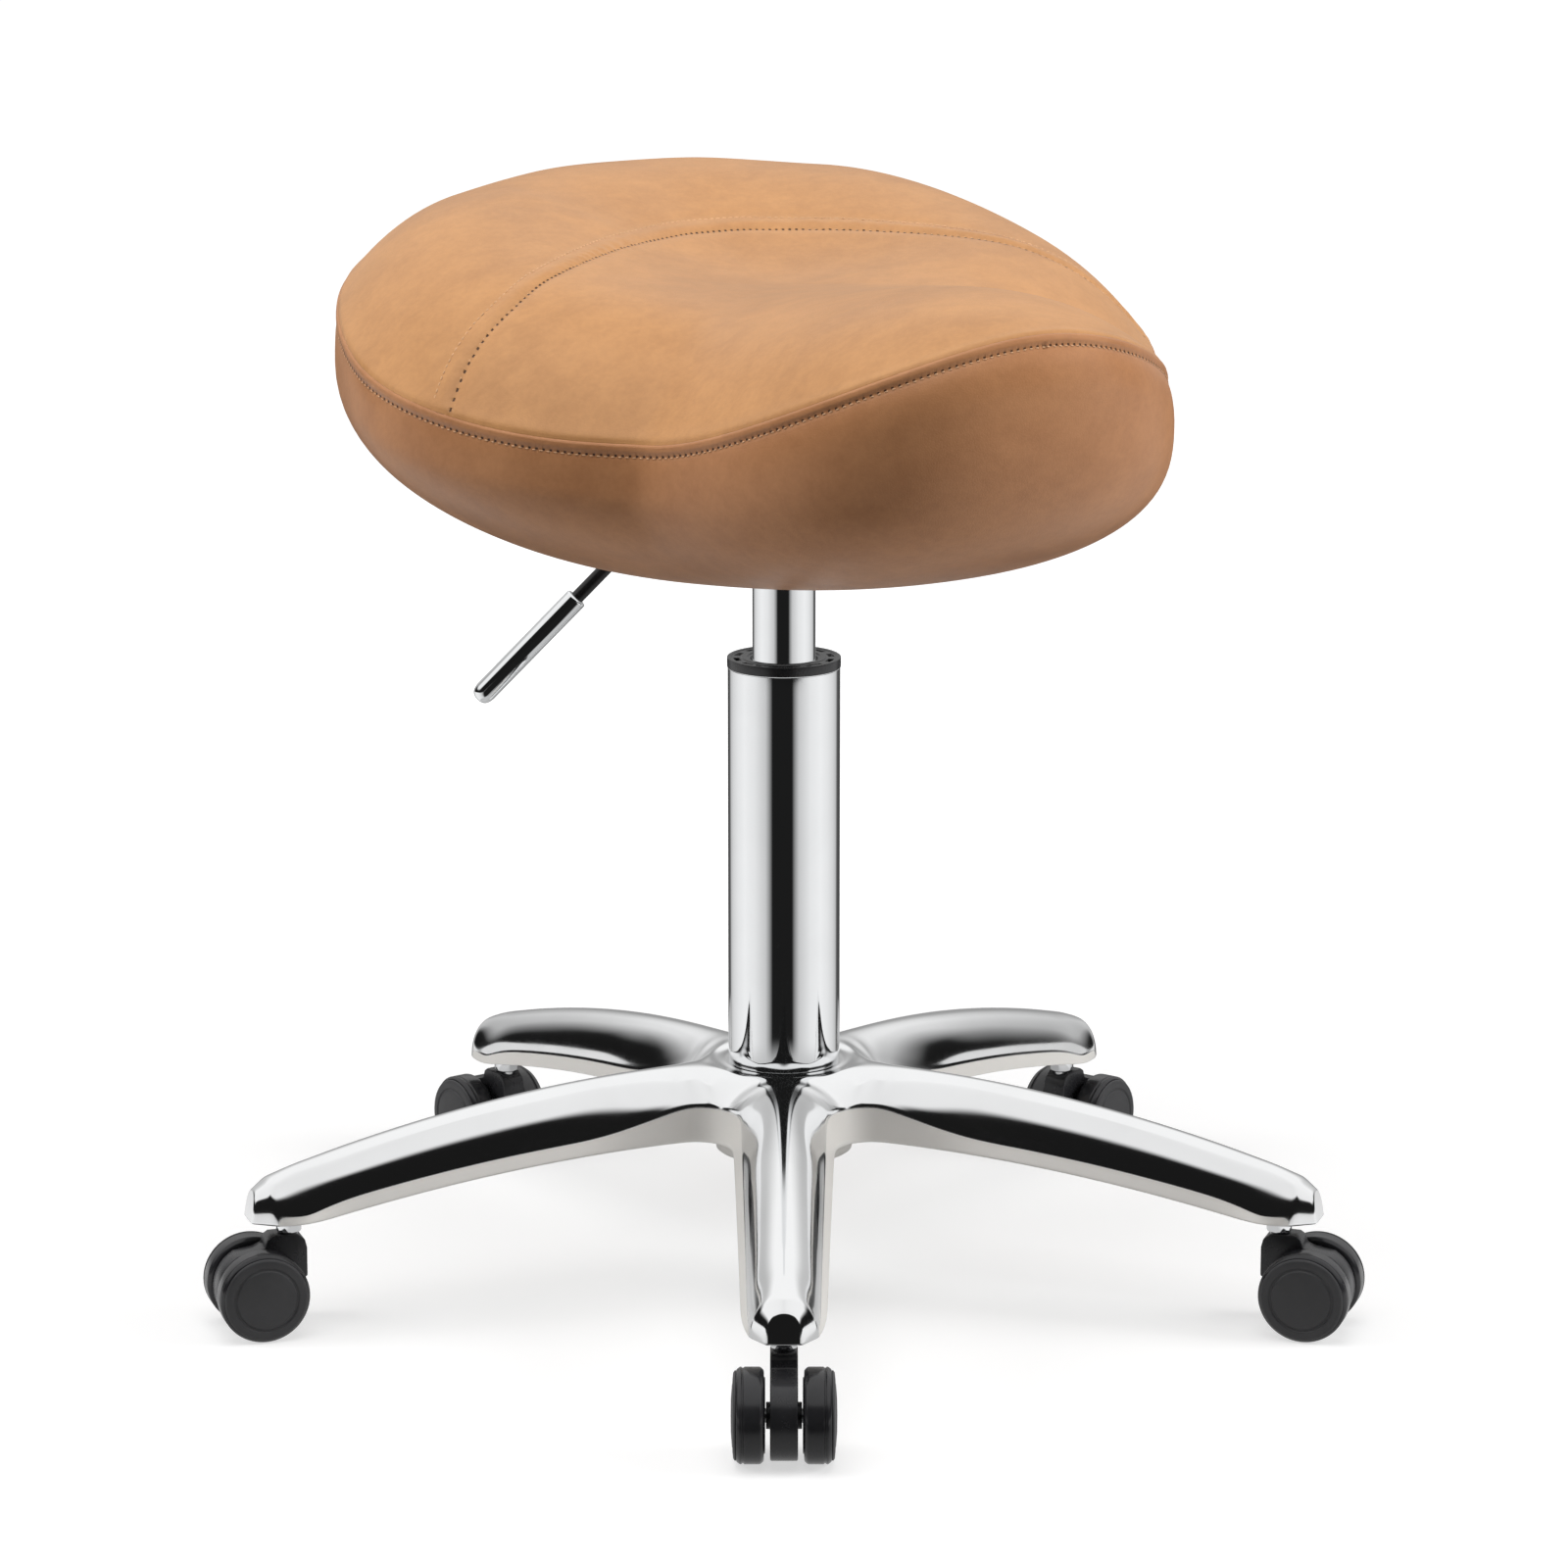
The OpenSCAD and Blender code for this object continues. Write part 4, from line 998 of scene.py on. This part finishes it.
def casterCover():
    base, radius, dome = wheelSide + caster["width"] + 0.02, caster["wheel"], caster["dome"]
    rim = ((6, -0.8), (6, -3), (4.1, -3), (4.1, 0), (1.5, 0), (1.5, 0.55), (2.4, 1.15))
    # dome and groove, as shares of the wheel's radius and the dome's height
    crown = ((0.735, 0.66), (0.715, 0.44), (0.675, 0.44), (0.655, 0.74), (0.35, 0.95), (0, 1))
    outline = [(0, base - 0.8)] + [(radius - deep, base + up) for deep, up in rim]
    return spun(outline + [(radius * out, base + dome * up) for out, up in crown], 0.4, 128)


def makeCasters():
    for number in range(1, 6):
        place = atLeg(number) @ wheelPlace
        name = f"caster_{number}"
        makePiece(f"casterBody{number}", casterBody(), place, blackPlastic, name, [f"{name}_body"])
        for side, flip in (("left", 1), ("right", -1)):
            mirrored = place @ Matrix.Scale(flip, 4, (0, 1, 0)) @ layAcross
            body = f"{name}_{side}"
            makePiece(f"casterWheel{number}{side}", casterWheel(), mirrored, wheelPlastic, body,
                      [f"{name}_wheel_{side}"])
            makePiece(f"casterCover{number}{side}", casterCover(), mirrored, coverPlastic, body,
                      [f"{name}_cover_{side}"])


def makeStems():
    top, leg, radius, pivot = caster["top"] + 0.3, caster["legLow"], caster["stemRadius"], caster["pivot"]
    outline = [(0, 26), (pivot, 26), (pivot, 29), (pivot + 0.6, 29), (pivot + 0.6, 30.5), (pivot, 30.5),
               (pivot, top), (radius, top), (radius + 0.6, top + 0.6), (radius + 0.6, leg - 1), (radius, leg - 1),
               (radius, 69), (radius - 1, 70), (0, 70)]
    stems = []
    for number in range(5):
        stem = spun(outline, 0.3, 64, corners=2)
        stem.transform(Matrix.Rotation(radians(turns["legStep"] * number), 4, "Z")
                       @ Matrix.Translation((caster["stem"], 0, 0)))
        stems.append(stem)
    makePiece("casterStems", joined(*stems), atLeg(1), chrome, "base", ["caster_stems"], sharp=40)


makeCasters()
makeStems()
print("stage: casters")

# Finish of the solids that stay as they are. Those not named are zinc.
nodeLooks = {
    "guide_bush": palePlastic, "bearing_balls": chrome, "piston_rod": chrome, "piston": brass,
    "piston_seal": rubber, "lift_buffer": rubber, "cylinder_gland": blackPlastic, "taper_socket": blackSteel,
    "seat_plate": blackSteel, "seat_board": boardWood, "seat_foam": paddingFoam, "valve_button": brass,
    "caster_sockets": blackPlastic,
}
for name, solid in frame["nodes"].items():
    finish = nodeLooks.get(name, zinc)
    if not solid.material_slots:
        solid.data.materials.append(finish)
    for slot in solid.material_slots:
        slot.material = finish

# The polished metal mirrors the plain room, without the seat over it
for name in ("coverTop", "coverBand", "hemStitches", "paneStitches", "leverRod", "leverGrip", "columnCap"):
    bpy.data.objects[name].visible_glossy = False
for name in ("taper_socket", "seat_plate", "plate_bolts", "board_nuts", "seat_board", "seat_foam", "lever_pin",
             "valve_button"):
    frame["nodes"][name].visible_glossy = False

# Stage. Mirrors see a plain studio: pale floor, dark walls, light ceiling.
stage = {"floor": (0.50, 0.50, 0.50), "floorGlow": 0.60, "farGlow": 1.0, "glowFrom": (0.40, 1.2), "world": 0.10,
         "turn": -32.0, "away": 2414.75, "height": 790.6, "pitch": 13.074, "lens": 127.74}
# Side, nearness and height of each lamp in mm, its width and height in metres, and its power
lamps = {"topLamp": ((-200, 450, 2300), 2.0, 2.0, 36), "leftLamp": ((-1900, 100, 1000), 0.8, 1.4, 17),
         "rightLamp": ((1900, 200, 900), 0.8, 1.6, 27)}
# Brightness that polished metal sees, by the angle away from the camera's side, in degrees
mirror = {
    "middle": -3.5,
    "floor": ((0, 0.012), (20, 0.012), (26, 0.30), (34, 0.62), (58, 0.86), (84, 0.95), (104, 0.86), (122, 0.72),
              (134, 0.55), (142, 0.10), (160, 0.05), (168, 0.28), (180, 0.34)),
    # the floor close to the stool, and how far it reaches, in metres
    "nearFloor": ((0, 0.55), (100, 0.60), (135, 0.50), (152, 0.36), (180, 0.36)),
    "nearTo": (0.27, 0.335),
    "low": ((0, 0.01), (119, 0.01), (132, 0.48), (150, 0.60), (164, 0.45), (172, 0.34), (180, 0.36)),
    "high": ((0, 0.86), (60, 0.92), (120, 1.0), (180, 1.0)),
    # heights between which the walls give way to the ceiling
    "riseFrom": ((0, 36), (46, 36), (60, 12), (94, 12), (104, 18), (112, 16), (140, 12), (180, 8)),
    "riseTo": ((0, 46), (46, 46), (60, 26), (94, 26), (104, 36), (112, 34), (140, 44), (180, 34)),
}


# A place by side, nearness to the camera and height
def fromCamera(side, near, height):
    return turned(stage["turn"]) @ Vector((side, -near, height))


# Angle in plan from the camera's side, as a share of half a turn, and the height
def awayShare(wire, where):
    parts = wire.node("SeparateXYZ", {}, {0: where}).socket.node.outputs
    x, y, up = [Wire(wire.tree, part) for part in parts]
    middle = radians(stage["turn"] - 90 + mirror["middle"])
    angle = wire.maths("ARCTAN2", y, x) - middle
    spread = wire.node("Math", {"operation": "WRAP"}, {0: angle, 1: pi, 2: -pi})
    return abs(spread) / pi, up


def ramp(wire, share, stops):
    made = wire.node("ValToRGB", {}, {0: share})
    ends = made.socket.node.color_ramp.elements
    while len(ends) < len(stops):
        ends.new(1)
    for end, (angle, shade) in zip(ends, stops):
        end.position, end.color = angle / 180, (shade, shade, shade, 1)
    return made


def makeFloor():
    bm = bmesh.new()
    bmesh.ops.create_grid(bm, x_segments=1, y_segments=1, size=14)
    mesh = meshOf(bm, "floor")
    material, wire, where = newMaterial("paleFloor")
    seen, shine = rays(wire)
    middle = wire.node("VectorMath", {"operation": "SUBTRACT"}, {0: where, 1: (columnMount[0], columnMount[1], 0)})
    far = wire.node("VectorMath", {"operation": "LENGTH"}, {0: middle}, 1)
    fade = far.stretch(*stage["glowFrom"])
    strength = seen * (stage["floorGlow"] + fade * (stage["farGlow"] - stage["floorGlow"]))
    glow = wire.node("Emission", {}, {"Color": (1, 1, 1, 1), "Strength": strength})
    soft = wire.node("BsdfDiffuse", {}, {"Color": (*stage["floor"], 1)})
    plain = wire.node("AddShader", {}, {0: glow, 1: soft})
    share, _ = awayShare(wire, middle)
    near = 1.0 - far.stretch(*mirror["nearTo"])
    around = near.mixed(ramp(wire, share, mirror["floor"]), ramp(wire, share, mirror["nearFloor"]))
    reflected = wire.node("Emission", {}, {"Color": around, "Strength": 1.0})
    mixed = wire.node("MixShader", {}, {0: shine, 1: plain, 2: reflected})
    wire.node("OutputMaterial", {}, {"Surface": mixed})
    mesh.materials.append(material)
    floor = added("floor", mesh)


def makeLamps():
    for name, (place, width, tall, power) in lamps.items():
        data = bpy.data.lights.new(name, "AREA")
        data.shape, data.size, data.size_y, data.energy = "RECTANGLE", width, tall, power
        lamp = added(name, data)
        lamp.location = fromCamera(*place)
        lamp.rotation_euler = (Vector((0, 0, 0.4)) - fromCamera(*place)).to_track_quat("-Z", "Y").to_euler()
        lamp.visible_glossy = False     # gloss shows the plain room instead


def makeWorld():
    world = bpy.data.worlds.new("paleRoom")
    bpy.context.scene.world = world
    world.use_nodes = True
    world.node_tree.nodes.clear()
    wire = Wire(world.node_tree)
    seen, shine = rays(wire)
    towards = wire.node("TexCoord", {}, {}, "Generated")
    share, up = awayShare(wire, towards)
    start, end = [ramp(wire, share, [(angle, height / 180) for angle, height in mirror[name]]) * pi
                  for name in ("riseFrom", "riseTo")]
    rise = wire.maths("ARCSINE", up).stretch(start, end)
    room = rise.mixed(ramp(wire, share, mirror["low"]), ramp(wire, share, mirror["high"]))
    level = stage["world"] + seen * (1.0 - stage["world"])
    plain = wire.node("CombineColor", {}, {0: level, 1: level, 2: level})
    back = wire.node("Background", {}, {"Color": shine.mixed(plain, room), "Strength": 1.0})
    wire.node("OutputWorld", {}, {"Surface": back})


def makeCamera():
    data = bpy.data.cameras.new("camera")
    data.lens, data.sensor_width, data.sensor_fit = stage["lens"], 36, "HORIZONTAL"
    data.clip_end = 50
    camera = added("camera", data)
    camera.location = fromCamera(0, stage["away"], stage["height"])
    camera.rotation_euler = (radians(90 - stage["pitch"]), 0, radians(stage["turn"]))
    bpy.context.scene.camera = camera


makeFloor()
makeLamps()
makeWorld()
makeCamera()
bpy.context.scene.view_settings.view_transform = "Standard"
print("stage: floor, lamps and camera")
